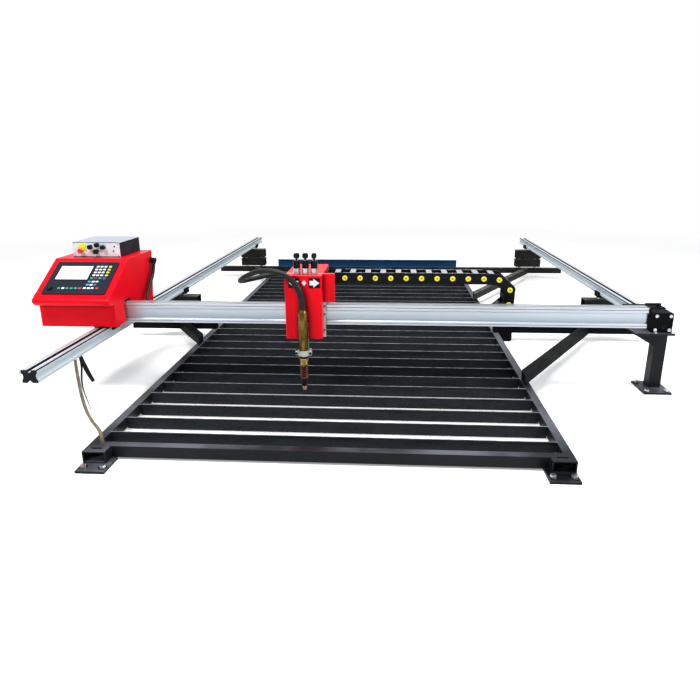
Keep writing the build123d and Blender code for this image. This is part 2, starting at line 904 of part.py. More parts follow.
lever_low = saddle_top + lever_hub_height / 2 + turning_gap
lever = rod(lever_hub_radius, (lever_x, lever_y, lever_low), lever_hub_height, "Z")
lever += rod(lever_stud_radius, (lever_x, lever_y, lever_low), -lever_stud, "Z")
lever_start = (lever_x - lever_length / 2, lever_y, lever_low + lever_hub_height - lever_thickness)
lever += Pos(*lever_start) * extrude(SlotOverall(lever_length + lever_width, lever_width), lever_thickness)
save("clamp_lever", lever)

# Console housing: bent sheet with a slanted front, a round lip and a lower box
def console_outline():
    corners = [
        (console_lip_y, console_lip_z), (console_top_front, console_top), (console_top_back, console_top),
        (console_foot_back, console_bottom), (console_box_front, console_bottom),
        (console_box_front, console_box_top), (console_lip_y + 2 * console_lip_radius, console_box_top),
    ]
    outline = Polygon(*corners, align=None)
    nose = [vertex for vertex in outline.vertices() if vertex.X < console_box_front - console_lip_radius]
    return fillet(nose, console_lip_radius)


slope = atan2(console_top - console_lip_z, console_top_front - console_lip_y)
panel_frame = Plane(origin=(console_left, console_lip_y, console_lip_z), x_dir=(1, 0, 0),
                    z_dir=(0, -sin(slope), cos(slope)))
panel_side = (console_right - console_left - panel_wide) / 2

outline = console_outline()
inner_outline = offset(outline, -console_sheet)
housing = along_x(outline, console_left, console_right)
housing -= along_x(inner_outline, console_left + console_sheet, console_right - console_sheet)
housing -= block(console_left + console_sheet, console_right - console_sheet,
                 console_box_front + console_sheet, console_foot_back - console_sheet,
                 console_bottom - through, console_bottom + console_sheet + through)
side_cut = (console_right - console_sheet - through, console_right + through)
housing -= block(*side_cut, beam_front - console_beam_gap, beam_back + console_beam_gap,
                 console_bottom - through, beam_top + console_beam_headroom)
unit_left = panel_side + (panel_wide - unit_wide) / 2
unit_low = panel_low + (panel_tall - unit_tall) / 2
opening = Pos(unit_left + unit_wide / 2, unit_low + unit_tall / 2) * Rectangle(
    unit_wide + 2 * unit_clearance, unit_tall + 2 * unit_clearance)
housing -= extrude(panel_frame * opening, 2 * console_sheet, both=True)
vent_x = (console_left + console_right) / 2
for i in range(vent_count):
    vent_z = console_top - vent_drop - vent_pitch * i
    housing -= block(vent_x - vent_length / 2, vent_x + vent_length / 2, console_foot_back - through,
                     console_top_back + through, vent_z - vent_width / 2, vent_z + vent_width / 2)
save("console_housing", housing)

# Controller: front panel with its case behind, screen and capped port
panel_face = Pos(panel_side + panel_wide / 2, panel_low + panel_tall / 2) * RectangleRounded(
    panel_wide, panel_tall, panel_corner)
controller = extrude(panel_frame * panel_face, panel_plate)
unit_face = Pos(unit_left + unit_wide / 2, unit_low + unit_tall / 2) * Rectangle(unit_wide, unit_tall)
controller += extrude(panel_frame * unit_face, -unit_depth)
panel_top = panel_frame.offset(panel_plate)
port_face = Pos(panel_side + port_left - console_sheet, port_low) * Circle(port_radius)
screen_face = Pos(panel_side + screen_left - console_sheet + screen_wide / 2,
                  screen_low + screen_tall / 2) * Rectangle(screen_wide, screen_tall)
save("controller_panel", controller)
save("controller_screen", extrude(panel_top * screen_face, screen_proud))
save("port_cap", extrude(panel_top * port_face, port_proud, taper=port_taper))

# Torch height box: dark case, pale front and lid, stop button and four knobs
box_right = box_left + box_wide
box_back = box_front + box_deep
box_top = console_top + box_tall
case = block(box_left, box_right, box_front + box_sheet, box_back, console_top, box_top - box_sheet)
case -= block(box_left + box_sheet, box_right - box_sheet, box_front, box_back - box_sheet,
              console_top + box_sheet, box_top)
save("height_box_case", case)
box_cover = block(box_left, box_right, box_front, box_front + box_sheet, console_top, box_top)
box_cover += block(box_left, box_right, box_front, box_back, box_top - box_sheet, box_top)
for dx, dz in knob_places:
    hole_start = (box_left + dx, box_front - through, console_top + dz)
    box_cover -= rod(knob_stem_radius + axle_clearance, hole_start, box_sheet + 2 * through, "Y")

plate_x0 = box_left + estop_plate_left
estop_plate = block(plate_x0, plate_x0 + estop_plate_wide, box_front - estop_plate_thickness, box_front,
                    console_top + estop_plate_low, console_top + estop_plate_low + estop_plate_tall)
stop_x = box_left + estop_x
stop_z = console_top + estop_z
stop_hole = rod(estop_stem_radius + axle_clearance, (stop_x, box_front - estop_stem, stop_z),
                estop_stem + box_sheet + through, "Y")
save("height_box_cover", box_cover - stop_hole)
save("estop_plate", estop_plate - stop_hole)
stop_start = box_front - estop_plate_thickness - estop_stem
stop_button = rod(estop_stem_radius, (stop_x, stop_start, stop_z),
                  estop_stem + estop_plate_thickness + estop_stem_inside, "Y")
stop_head = rod(estop_radius, (stop_x, stop_start, stop_z), -estop_head, "Y")
stop_head = fillet(stop_head.edges().group_by(Axis.Y)[0], estop_round)
save("estop_button", stop_button + stop_head)


def setting_knob(dx, dz):
    x = box_left + dx
    z = console_top + dz
    base = box_front - knob_gap
    made = rod(knob_radius, (x, base, z), -knob_height, "Y")
    made = chamfer(made.edges().group_by(Axis.Y)[0], knob_chamfer)
    notch = block(x - knob_pointer / 2, x + knob_pointer / 2, base - knob_height - through,
                  base - knob_height + knob_pointer_down, z + knob_pointer_in, z + knob_radius + through)
    return made - notch + rod(knob_stem_radius, (x, base, z), knob_stem, "Y")


for number, (dx, dz) in enumerate(knob_places, 1):
    save(f"setting_knob_{number}", setting_knob(dx, dz))


# Tubes of straight runs and tangent arcs
def bend_radii(points):
    radii = []
    for before, here, after in zip(points, points[1:], points[2:]):
        first = Vector(*here) - Vector(*before)
        second = Vector(*after) - Vector(*here)
        turn = radians(first.get_angle(second))
        radii.append(bend_share * min(first.length, second.length) / tan(turn / 2))
    return radii


def cord(points, diameter):
    radii = bend_radii(points)
    path = FilletPolyline(*points, radius=radii)
    start = Plane(origin=path @ 0, z_dir=path % 0)
    made = sweep(start * Circle(diameter / 2), path=path)
    ratio = made.volume / (pi * diameter ** 2 / 4 * path.length)
    print("tube", diameter, "length", round(path.length), "least bend", round(min(radii)),
          "volume ratio", round(ratio, 4))
    return made


# Conduit from an elbow gland on the console's side down to the chain tray
chain_lower_z = chain_upper_z - 2 * chain_radius
chain_links = chain_upper_links + chain_turn_links + chain_lower_links
chain_length = chain_first_pin + chain_pitch * chain_links
chain_last_pin_x = chain_turn_x - (chain_length - (chain_turn_x - chain_start_x) - pi * chain_radius)
conduit_end_x = chain_last_pin_x - chain_bracket
chain_back = chain_front + chain_width
tray_low = chain_lower_z - chain_height / 2 - tray_gap - tray_thickness
tray_floor = tray_low + tray_thickness
lay_z = tray_floor + conduit_radius + turning_gap
conduit_x = console_right + gland_reach - gland_radius
conduit_points = [
    (conduit_x, -770, 484),
    (conduit_x, -779, 460),
    (conduit_x, -798, 434),
    (conduit_x, -838, 399),
    (conduit_x + 2, -880, 364),
    (conduit_x + 14, -918, 334),
    (-962, -940, 313),
    (-908, -944, 304),
    (-835, -932, lay_z),
    (-730, -922, lay_z),
    (-570, -918, lay_z),
    (-410, -924, lay_z),
    (-250, -919, lay_z),
    (conduit_end_x, -919, lay_z),
]
conduit_way = (Vector(*conduit_points[1]) - Vector(*conduit_points[0])).normalized()
elbow = Vector(*conduit_points[0]) - conduit_way * nipple_length
gland = rod(gland_radius, (console_right, elbow.Y, elbow.Z), gland_reach, "X")
gland += extrude(Plane(origin=elbow, z_dir=conduit_way) * Circle(nipple_radius), nipple_length)
save("console_conduit", [gland, cord(conduit_points, 2 * conduit_radius)])

# Cable chain: pinned side plates, cross bars and the turn at the right
def chain_place(s):
    straight = chain_turn_x - chain_start_x
    bend = pi * chain_radius
    if s <= straight:
        return chain_start_x + s, chain_upper_z
    if s <= straight + bend:
        angle = (s - straight) / chain_radius
        return (chain_turn_x + chain_radius * sin(angle),
                chain_upper_z - chain_radius + chain_radius * cos(angle))
    return chain_turn_x - (s - straight - bend), chain_lower_z


def chain_pin(number, radius, y0, y1):
    x, z = chain_place(chain_first_pin + chain_pitch * number)
    return rod(radius, (x, y0, z), y1 - y0, "Y")


def chain_sides(number):
    step = (chain_plate + chain_plate_gap) * (number % 2)
    return chain_front + step, chain_back - step


# Outer links carry the pins, inner links turn on them
def chain_pinned(link, number, joints):
    depth = 2 * chain_plate + chain_plate_gap
    for joint in joints:
        if number % 2:
            link -= chain_pin(joint, chain_pin_radius + axle_clearance, chain_front, chain_back)
        else:
            link += chain_pin(joint, chain_pin_radius, chain_front - chain_pin_proud, chain_front + depth)
            link += chain_pin(joint, chain_pin_radius, chain_back - depth, chain_back + chain_pin_proud)
    return link


def chain_link(number):
    x0, z0 = chain_place(chain_first_pin + chain_pitch * number)
    x1, z1 = chain_place(chain_first_pin + chain_pitch * (number + 1))
    half = chain_height / 2
    face = SlotOverall(hypot(x1 - x0, z1 - z0) + chain_height, chain_height)
    near, far = chain_sides(number)
    link = along_y(face, near, near + chain_plate) + along_y(face, far - chain_plate, far)
    link += block(-chain_bar_width / 2, chain_bar_width / 2, near, far, half - chain_bar_height, half)
    angle = -degrees(atan2(z1 - z0, x1 - x0))
    placed = Pos((x0 + x1) / 2, 0, (z0 + z1) / 2) * Rot(0, angle, 0) * link
    return chain_pinned(placed, number, (number, number + 1))


def chain_end(number, joint, wall_x, low):
    x, z = chain_place(chain_first_pin + chain_pitch * joint)
    near, far = chain_sides(number)
    x0, x1 = sorted((wall_x, x + (chain_link_overlap if wall_x < x else -chain_link_overlap)))
    half = chain_height / 2
    made = block(x0, x1, near, near + chain_plate, z - half, z + half)
    made += block(x0, x1, far - chain_plate, far, z - half, z + half)
    wall = sorted((wall_x, wall_x + chain_plate))
    made += block(*wall, near, far, low, z + half)
    return chain_pinned(made, number, (joint,))


upper_end = chain_upper_links
turn_end = upper_end + chain_turn_links
upper_run = [chain_link(number) for number in range(upper_end)]
upper_run.append(chain_end(-1, 0, cover_right, chain_upper_z - chain_height / 2))
save("chain_upper_run", upper_run)
save("chain_turn", [chain_link(number) for number in range(upper_end, turn_end)])
lower_run = [chain_link(number) for number in range(turn_end, chain_links)]
lower_run.append(chain_end(chain_links, chain_links, conduit_end_x, tray_floor))
save("chain_lower_run", lower_run)

tray_right = beam_right - tray_right_gap
lip_back = chain_back + 2 * tray_thickness + chain_pin_proud
tray = block(tray_left, tray_right, beam_back, lip_back, tray_low, tray_floor)
tray += block(tray_left, tray_right, beam_back, beam_back + tray_thickness, tray_low, beam_bottom + beam_band)
tray += block(tray_left, tray_right, lip_back - tray_thickness, lip_back, tray_low, tray_low + tray_lip)
save("chain_tray", tray)

# Torch carriage: front plate, guides in the beam's top slots and the two covers
plate_back = beam_front - carriage_gap
plate_front = plate_back - carriage_thickness
rear_low = beam_top + rear_cover_clear
carriage = block(carriage_left, carriage_right, plate_front, plate_back, carriage_low, carriage_high)
deck_high = rear_low + carriage_thickness
carriage -= block(cover_right, carriage_right + through, plate_front - through, plate_back + through,
                  deck_high, carriage_high + through)
carriage += block(carriage_left, carriage_right, plate_back, beam_back + carriage_gap, rear_low, deck_high)
for slot_in in (beam_top_slot_inset, beam_depth - beam_top_slot_inset):
    guide_y = beam_front + slot_in
    guide_half = beam_top_slot_width / 2 - guide_clear
    for x0 in (carriage_left, carriage_right - guide_length):
        carriage += block(x0, x0 + guide_length, guide_y - guide_half, guide_y + guide_half,
                          beam_top - beam_top_slot_depth + guide_clear, rear_low)
traverse_pinion_y = beam_back + cross_rack_depth + pinion_gap + pinion_radius
carriage += block(traverse_motor_x - motor_size / 2, traverse_motor_x + motor_size / 2, beam_back,
                  traverse_pinion_y + motor_size / 2, rear_low, deck_high)
carriage -= rod(motor_shaft_radius + axle_clearance,
                (traverse_motor_x, traverse_pinion_y, rear_low - through),
                carriage_thickness + 2 * through, "Z")
lifter_y = plate_front - lift_screw_set_back
bracket_low = lift_motor_low - lift_bracket_thickness
carriage += block(torch_x - lift_motor_size / 2, torch_x + lift_motor_size / 2,
                  lifter_y - lift_motor_size / 2 + lift_bracket_set_back, plate_front,
                  bracket_low, lift_motor_low)
carriage -= rod(lift_screw_radius + axle_clearance, (torch_x, lifter_y, bracket_low - through),
                lift_bracket_thickness + 2 * through, "Z")
save("carriage_plate", carriage)

cover = block(cover_left, cover_right, plate_front - cover_depth, plate_front, cover_low, cover_high)
cover = fillet(cover.edges().filter_by(Axis.Z).group_by(Axis.Y)[0], cover_corner)
cover -= block(cover_left + cover_sheet, cover_right - cover_sheet, plate_front - cover_depth + cover_sheet,
               plate_front + through, cover_low - through, cover_high - cover_sheet)
arm_slot_half = holder_bar_width / 2 + cover_slot_gap
cover -= block(torch_x - arm_slot_half, torch_x + arm_slot_half, plate_front - cover_depth - through,
               plate_front - cover_depth + 2 * cover_sheet, cover_low - through,
               handle_low + lift_travel + cover_slot_gap)
save("lifter_cover", cover)

rear_cover = block(cover_left, cover_right, plate_back, rear_cover_back, deck_high, rear_cover_high)
rear_cover = fillet(rear_cover.edges().filter_by(Axis.Z).group_by(Axis.Y)[-1], cover_corner)
rear_cover -= block(cover_left + cover_sheet, cover_right - cover_sheet, plate_back + cover_sheet,
                    rear_cover_back - cover_sheet, deck_high - through, rear_cover_high - cover_sheet)
wing = block(cover_right, wing_right, plate_front, plate_front + wing_depth, deck_high, rear_cover_high)
wing -= block(cover_right - through, wing_right - cover_sheet, plate_front + cover_sheet,
              plate_front + wing_depth + through, deck_high - through, rear_cover_high - cover_sheet)
save("rear_cover", rear_cover + wing)

motors = [
    motor(traverse_motor_x, traverse_pinion_y, deck_high, motor_size, motor_height),
    motor(torch_x, lifter_y, lift_motor_low, lift_motor_size, lift_motor_height),
]
save("carriage_motors", motors)
save("traverse_pinion", pinion(traverse_motor_x, traverse_pinion_y, rack_z - pinion_height / 2, deck_high))
save("lift_screw", rod(lift_screw_radius, (torch_x, lifter_y, lift_screw_low),
                       lift_motor_low - turning_gap - lift_screw_low, "Z"))

# Gas valves on the lifter cover
valve_y = plate_front - cover_depth + valve_set_back
valve_xs = [torch_x + valve_shift + valve_spacing * step for step in (-1, 0, 1)]
valve_bodies = []
knob_low = cover_high + valve_hex_height + valve_body_height + valve_gap
wing_face = Plane.XZ * (Pos(0, valve_wing_height / 2) * RectangleRounded(
    valve_wing_width, valve_wing_height, valve_wing_corner))
for number, (valve_x, turn) in enumerate(zip(valve_xs, valve_turns), 1):
    body = hexagon(valve_hex_radius, (valve_x, valve_y, cover_high), valve_hex_height, "Z")
    body += rod(valve_body_radius, (valve_x, valve_y, cover_high + valve_hex_height), valve_body_height, "Z")
    body_top = cover_high + valve_hex_height + valve_body_height
    body += rod(valve_collar_radius, (valve_x, valve_y, body_top), -valve_collar_height, "Z")
    body -= rod(valve_stem_radius + axle_clearance, (valve_x, valve_y, body_top + through),
                -valve_stem_inside - 2 * through, "Z")
    valve_bodies.append(body)
    knob = rod(valve_stem_radius, (valve_x, valve_y, knob_low + valve_stem_height),
               -valve_stem_height - valve_stem_inside, "Z")
    wing = Pos(valve_x, valve_y, knob_low + valve_stem_height) * Rot(0, 0, turn) * extrude(
        wing_face, valve_wing_thickness / 2, both=True)
    save(f"valve_knob_{number}", knob + wing)
save("valve_bodies", valve_bodies)


# Torch, its clamp ring and the lifting bar
def turned(profile):
    points = [(0, profile[0][1])] + profile + [(0, profile[-1][1])]
    face = Plane.XZ * make_face(Polyline(*points, close=True))
    return Pos(torch_x, torch_y, 0) * revolve(face, Axis.Z)


bar_front = lifter_y - lift_nut_depth / 2 - holder_bar_thickness
bar_half = holder_bar_width / 2
nut_half = lift_nut_width / 2
holder = rod(ring_radius, (torch_x, torch_y, ring_low), handle_low - ring_low, "Z")
holder += block(torch_x - bar_half, torch_x + bar_half, torch_y, bar_front + holder_bar_thickness,
                ring_low, handle_low)
holder -= rod(neck_radius + ring_clearance, (torch_x, torch_y, ring_low - through),
              handle_low - ring_low + 2 * through, "Z")
holder += block(torch_x - bar_half, torch_x + bar_half, bar_front, bar_front + holder_bar_thickness,
                handle_low, lift_nut_high)
holder += block(torch_x - nut_half, torch_x + nut_half, bar_front + holder_bar_thickness,
                lifter_y + lift_nut_depth / 2, lift_nut_low, lift_nut_high)
holder -= rod(lift_screw_radius + lift_nut_clearance, (torch_x, lifter_y, lift_nut_low - through),
              lift_nut_high - lift_nut_low + 2 * through, "Z")
save("torch_holder", holder)
save("torch_body", turned([
    (head_radius - head_cone_in, head_low), (head_radius, head_low + head_cone),
    (head_radius, ring_low - head_cone), (neck_radius, ring_low), (neck_radius, handle_low),
    (handle_radius, handle_low), (handle_radius, torch_top - handle_shoulder),
    (handle_radius - handle_shoulder_in, torch_top)]))
save("torch_shield", turned([(shield_radius - shield_nose_in, shield_low),
                             (shield_radius, shield_low + shield_nose), (shield_radius, head_low)]))
save("torch_collar", turned([(collar_radius - collar_nose_in, collar_low),
                             (collar_radius, collar_low + collar_nose), (collar_radius, shield_low)]))
save("torch_tip", turned([(tip_end_radius, tip_low), (tip_radius, collar_low)]))

# Free cords
save("torch_hose", cord(hose_points, hose_diameter))
save("earth_cable", cord(earth_points, earth_diameter))
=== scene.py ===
from math import asin, atan2, cos, hypot, pi, radians, sin

import bmesh
import bpy
from mathutils import Matrix, Vector


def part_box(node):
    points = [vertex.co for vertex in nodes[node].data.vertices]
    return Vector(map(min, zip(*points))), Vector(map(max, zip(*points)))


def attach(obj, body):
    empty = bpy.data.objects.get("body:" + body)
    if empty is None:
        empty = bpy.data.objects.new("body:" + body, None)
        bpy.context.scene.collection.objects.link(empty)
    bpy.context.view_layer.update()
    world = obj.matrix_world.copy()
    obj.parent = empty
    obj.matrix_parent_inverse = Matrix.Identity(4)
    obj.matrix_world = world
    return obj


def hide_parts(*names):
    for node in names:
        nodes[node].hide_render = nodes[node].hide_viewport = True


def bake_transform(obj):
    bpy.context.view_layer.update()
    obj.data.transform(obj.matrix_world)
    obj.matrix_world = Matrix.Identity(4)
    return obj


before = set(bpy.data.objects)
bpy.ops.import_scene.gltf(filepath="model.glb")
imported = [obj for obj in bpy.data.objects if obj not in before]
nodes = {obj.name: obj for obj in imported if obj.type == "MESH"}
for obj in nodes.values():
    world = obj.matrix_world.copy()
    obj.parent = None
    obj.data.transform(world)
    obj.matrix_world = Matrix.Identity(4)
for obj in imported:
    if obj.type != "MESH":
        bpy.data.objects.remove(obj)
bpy.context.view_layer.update()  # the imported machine: one object for each CAD node
scene = bpy.context.scene
mm = 0.001
print("frame loaded:", len(nodes), "nodes")


def at(x, y, z):  # a point given in millimetres
    return Vector((x, y, z)) * mm


def shift(x, y, z):  # a move given in millimetres
    return Matrix.Translation(at(x, y, z))


# camera: where the photograph was taken from
cameraSet = {
    "place": at(18.57, -3325.12, 904.70), "focalPx": 602.365, "imagePx": 700, "sensorMm": 36,
    "pitch": 17.4328, "yaw": 3.8854, "roll": -0.3086}


def placeCamera():
    data = bpy.data.cameras.new("camera")
    data.sensor_width = cameraSet["sensorMm"]
    data.lens = cameraSet["focalPx"] / cameraSet["imagePx"] * cameraSet["sensorMm"]
    camera = bpy.data.objects.new("camera", data)
    turn = Matrix.Rotation(radians(cameraSet["yaw"]), 4, "Z")
    turn = turn @ Matrix.Rotation(radians(90 - cameraSet["pitch"]), 4, "X")
    turn = turn @ Matrix.Rotation(radians(cameraSet["roll"]), 4, "Z")
    camera.matrix_world = Matrix.Translation(cameraSet["place"]) @ turn
    scene.collection.objects.link(camera)
    scene.camera = camera


placeCamera()
print("camera placed")


# node helpers
def linear(colour):  # sRGB hex to the linear values that shaders take
    parts = [int(colour[i:i + 2], 16) / 255 for i in (1, 3, 5)]
    return [p / 12.92 if p <= 0.04045 else ((p + 0.055) / 1.055) ** 2.4 for p in parts] + [1]


def feed(tree, node, inputs):  # a value or a link for each named socket
    for name, value in inputs.items():
        if isinstance(value, bpy.types.NodeSocket):
            tree.links.new(value, node.inputs[name])
        else:
            node.inputs[name].default_value = value


def addNode(tree, kind, inputs=None, **settings):  # one node with its settings and links
    made = tree.nodes.new("ShaderNode" + kind)
    for name, value in settings.items():
        setattr(made, name, value)
    feed(tree, made, inputs or {})
    return made


def startMaterial(name, sockets):
    material = bpy.data.materials.new(name)
    material.use_nodes = True
    tree = material.node_tree
    shader = tree.nodes["Principled BSDF"]
    feed(tree, shader, sockets)
    return material, tree, shader


def pattern(tree, sizeMm, detail=3.0, low=0.36, high=0.64):  # cloudy grain, sizeMm long in x, y, z
    place = addNode(tree, "TexCoord").outputs["Object"]
    scale = [1 / (size * mm) for size in sizeMm]
    fitted = addNode(tree, "Mapping", {"Vector": place, "Scale": scale}).outputs[0]
    noise = addNode(tree, "TexNoise", {"Vector": fitted, "Scale": 1.0, "Detail": detail}).outputs[0]
    return addNode(tree, "MapRange", {"Value": noise, "From Min": low, "From Max": high}).outputs[0]


# softened normal, and a mask that is 1 on edges and 0 on flats: it lays edge wear, and on the red paint a
# painted highlight
def edgesOf(tree, widthMm, samples=6, flatFrom=0.995, sharpFrom=0.88):
    soft = addNode(tree, "Bevel", {"Radius": widthMm * mm}, samples=samples).outputs[0]
    flat = addNode(tree, "NewGeometry").outputs["Normal"]
    alike = addNode(tree, "VectorMath", {0: soft, 1: flat}, operation="DOT_PRODUCT").outputs["Value"]
    rubAndHighlight = addNode(tree, "MapRange", {"Value": alike, "From Min": flatFrom, "From Max": sharpFrom}).outputs[0]
    return soft, rubAndHighlight


# painted shade from occlusion: 0 on open faces, 1 deep in grooves and under ledges
def occlusionShade(tree, reachMm, samples=8, openFrom=0.85, deepFrom=0.5):
    light = addNode(tree, "AmbientOcclusion", {"Distance": reachMm * mm}, samples=samples).outputs["AO"]
    return addNode(tree, "MapRange", {"Value": light, "From Min": openFrom, "From Max": deepFrom}).outputs[0]


def facingUp(tree, start=0.6, end=1.0):  # 0 to 1 as a face turns to look up
    normal = addNode(tree, "NewGeometry").outputs["Normal"]
    up = addNode(tree, "SeparateXYZ", {0: normal}).outputs["Z"]
    return addNode(tree, "MapRange", {"Value": up, "From Min": start, "From Max": end}).outputs[0]


def facingAside(tree, start=0.5, end=0.85):  # 0 to 1 as a face turns to look along X, either way
    normal = addNode(tree, "NewGeometry").outputs["Normal"]
    across = addNode(tree, "SeparateXYZ", {0: normal}).outputs["X"]
    across = addNode(tree, "Math", {0: across}, operation="ABSOLUTE").outputs[0]
    return addNode(tree, "MapRange", {"Value": across, "From Min": start, "From Max": end}).outputs[0]


def heightMask(tree, levelMm, fadeMm):  # 0 below a level of the object, 1 above it
    place = addNode(tree, "TexCoord").outputs["Object"]
    z = addNode(tree, "SeparateXYZ", {0: place}).outputs["Z"]
    return addNode(tree, "MapRange", {"Value": z, "From Min": (levelMm - fadeMm) * mm,
                                      "From Max": (levelMm + fadeMm) * mm}).outputs[0]


def slotShadeLines(tree, look):  # painted shade lines along a rail's slots, counted from its middle towards the table
    place = addNode(tree, "TexCoord").outputs["Object"]
    parts = addNode(tree, "SeparateXYZ", {0: place}).outputs
    x, z = parts["X"], parts["Z"]
    outward = addNode(tree, "Math", {0: x, 1: look["middleX"] * mm}, operation="SUBTRACT").outputs[0]
    outward = addNode(tree, "Math", {0: outward}, operation="ABSOLUTE").outputs[0]
    inward = addNode(tree, "Math", {0: look["halfGauge"] * mm, 1: outward}, operation="SUBTRACT").outputs[0]
    lines = []
    for middle, half, low, high in look["lines"]:
        across = addNode(tree, "Math", {0: inward, 1: middle * mm, 2: half * mm}, operation="COMPARE")
        level = addNode(tree, "Math", {0: z, 1: (low + high) / 2 * mm, 2: (high - low) / 2 * mm},
                        operation="COMPARE")
        line = addNode(tree, "Math", {0: across.outputs[0], 1: level.outputs[0]}, operation="MULTIPLY")
        lines.append(line.outputs[0])
    return lines


def layTones(tree, tone, layers):  # (colour, strength, masks) laid over a tone, one after another
    for colour, strength, *masks in layers:
        share = masks[0]
        for part in masks[1:] + ([strength] if strength != 1 else []):
            share = addNode(tree, "Math", {0: share, 1: part}, operation="MULTIPLY").outputs[0]
        above = linear(colour) if isinstance(colour, str) else colour
        tone = addNode(tree, "Mix", {0: share, 6: tone, 7: above}, data_type="RGBA").outputs[2]
    return tone


def finishSurface(tree, shader, look, tone, sheen, relief, normal):  # colour, roughness and fine relief
    smooth, dull = look["rough"]
    rough = addNode(tree, "MapRange", {"Value": sheen, "To Min": smooth, "To Max": dull})
    bump = addNode(tree, "Bump", {"Strength": look["bump"], "Distance": look["bumpMm"] * mm,
                                  "Height": relief, "Normal": normal})
    feed(tree, shader, {"Base Color": tone, "Roughness": rough.outputs[0], "Normal": bump.outputs[0]})


# coats: paint, powder and moulded plastic
# real grit is under a millimetre and wouldn't show from here, so gritMm is several times as coarse
# shine is the specular level and gloss a clear coat
coatSet = {
    "shine": 0.5, "gloss": 0.0, "glossRough": 0.08, "gritDetail": 2.0, "gritLow": 0.3, "gritHigh": 0.7,
    "bumpMm": 0.4, "patchy": True}


def coated(name, settings):
    look = {**coatSet, **settings}
    material, tree, shader = startMaterial(name, {
        "Specular IOR Level": look["shine"], "Coat Weight": look["gloss"],
        "Coat Roughness": look["glossRough"]})
    clouds = pattern(tree, [look["patchMm"]] * 3)
    grit = pattern(tree, [look["gritMm"]] * 3, look["gritDetail"], look["gritLow"], look["gritHigh"])
    soft, rubAndHighlight = edgesOf(tree, look["edgeMm"])
    layers = [(look["shade"], 1, clouds), (look["edge"], look["wearAndHighlight"], rubAndHighlight)]
    if "creaseShade" in look:  # painted shade, darker under ledges and in folds
        layers.append((look["creaseShade"], 1, occlusionShade(tree, look["creaseMm"])))
    if "dustAndSheen" in look:  # a paler tone on faces that look up, in patches or evenly: dust, and on the table frame a painted sheen
        dustAndSheenMasks = [facingUp(tree)] + [clouds] * look["patchy"]
        layers.append((look["dustAndSheen"], look["dustAndSheenShare"], *dustAndSheenMasks))
    tone = layTones(tree, linear(look["colour"]), layers)
    finishSurface(tree, shader, look, tone, clouds, grit, soft)
    return material


# metals: drawn, rolled, turned or plated
# die lines and tool marks are finer than a pixel, so streakMm is drawn as coarse as it needs to show
metalSet = {
    "metallic": 1.0, "streakDetail": 4.0, "bumpMm": 0.2, "flankDull": 0.8, "lines": [], "shine": 0.5}


def metalled(name, settings):
    look = {**metalSet, **settings}
    material, tree, shader = startMaterial(name, {"Metallic": look["metallic"]})
    streaks = pattern(tree, look["streakMm"], look["streakDetail"])
    clouds = pattern(tree, [look["patchMm"]] * 3)
    soft, rubAndHighlight = edgesOf(tree, look["edgeMm"])
    layers = [(look["shade"], 1, clouds), (look["streak"], look["streaky"], streaks)]
    dull = 0.0
    if "flankShade" in look:  # painted shade: faces that look along X take a bluer, duller tone
        sided = facingAside(tree)
        layers.append((look["flankShade"], 1, sided))
        dull = addNode(tree, "Math", {0: sided, 1: look["flankDull"]}, operation="MULTIPLY").outputs[0]
    if "band" in look:  # a strip of other tone between two levels: painted shade on the beam's web, darker towards its foot, and a dark finish on bolts
        low, high, fade = look["band"]
        graded = heightMask(tree, (low + high) / 2, (high - low) / 2)
        strip = layTones(tree, linear(look["bandLow"]), [(look["bandColour"], 1, graded)])
        layers.append((strip, 1, heightMask(tree, low, fade), heightMask(tree, high, -fade)))
    layers.append((look["edge"], look["wearAndHighlight"], rubAndHighlight))
    if "grooveShade" in look:  # painted shade in grooves
        layers.append((look["grooveShade"], 1, occlusionShade(tree, look["grooveMm"])))
    if look["lines"]:  # painted shade: dark lines at the slots, which don't shine
        for line in slotShadeLines(tree, look):
            layers.append((look["slotShadeTone"], 1, line))
            dull = addNode(tree, "Math", {0: dull, 1: line}, operation="MAXIMUM").outputs[0]
        for socket, value in (("Metallic", look["metallic"]), ("Specular IOR Level", look["shine"])):
            sheen = addNode(tree, "MapRange", {"Value": dull, "To Min": value, "To Max": 0.0}).outputs[0]
            feed(tree, shader, {socket: sheen})
    tone = layTones(tree, linear(look["colour"]), layers)
    finishSurface(tree, shader, look, tone, streaks, streaks, soft)
    return material


# enamelled mild steel tube, brushed and sprayed: satin black, grey where boots and tools rub the edges
blackSteel = coated("enamelled_steel_black", {
    "colour": "#0a0b0c", "shade": "#111214", "edge": "#333538", "dustAndSheen": "#1e1d1b", "dustAndSheenShare": 0.25,
    "patchMm": 140, "gritMm": 9, "edgeMm": 2.0, "wearAndHighlight": 0.3, "rough": (0.42, 0.58), "bump": 0.12,
    "shine": 0.02})
# the same enamel out of reach at the back: weathered, with a lighter grey on the faces that look up
riserSteel = coated("enamelled_steel_weathered", {
    "colour": "#161614", "shade": "#232220", "edge": "#4b4a46", "dustAndSheen": "#6c6b66", "dustAndSheenShare": 0.8,
    "patchMm": 70, "gritMm": 7, "edgeMm": 2.0, "wearAndHighlight": 0.4, "rough": (0.45, 0.6), "bump": 0.2,
    "shine": 0.06})
# the same enamel on the table's frame, its top turned slate grey by a painted sheen
frameSteel = coated("enamelled_steel_sheen_top", {
    "colour": "#0d0e11", "shade": "#15171b", "edge": "#5b5f68", "dustAndSheen": "#646772", "dustAndSheenShare": 0.75,
    "patchMm": 220, "gritMm": 8, "edgeMm": 2.0, "wearAndHighlight": 0.35, "rough": (0.32, 0.48), "bump": 0.12,
    "shine": 0.15})
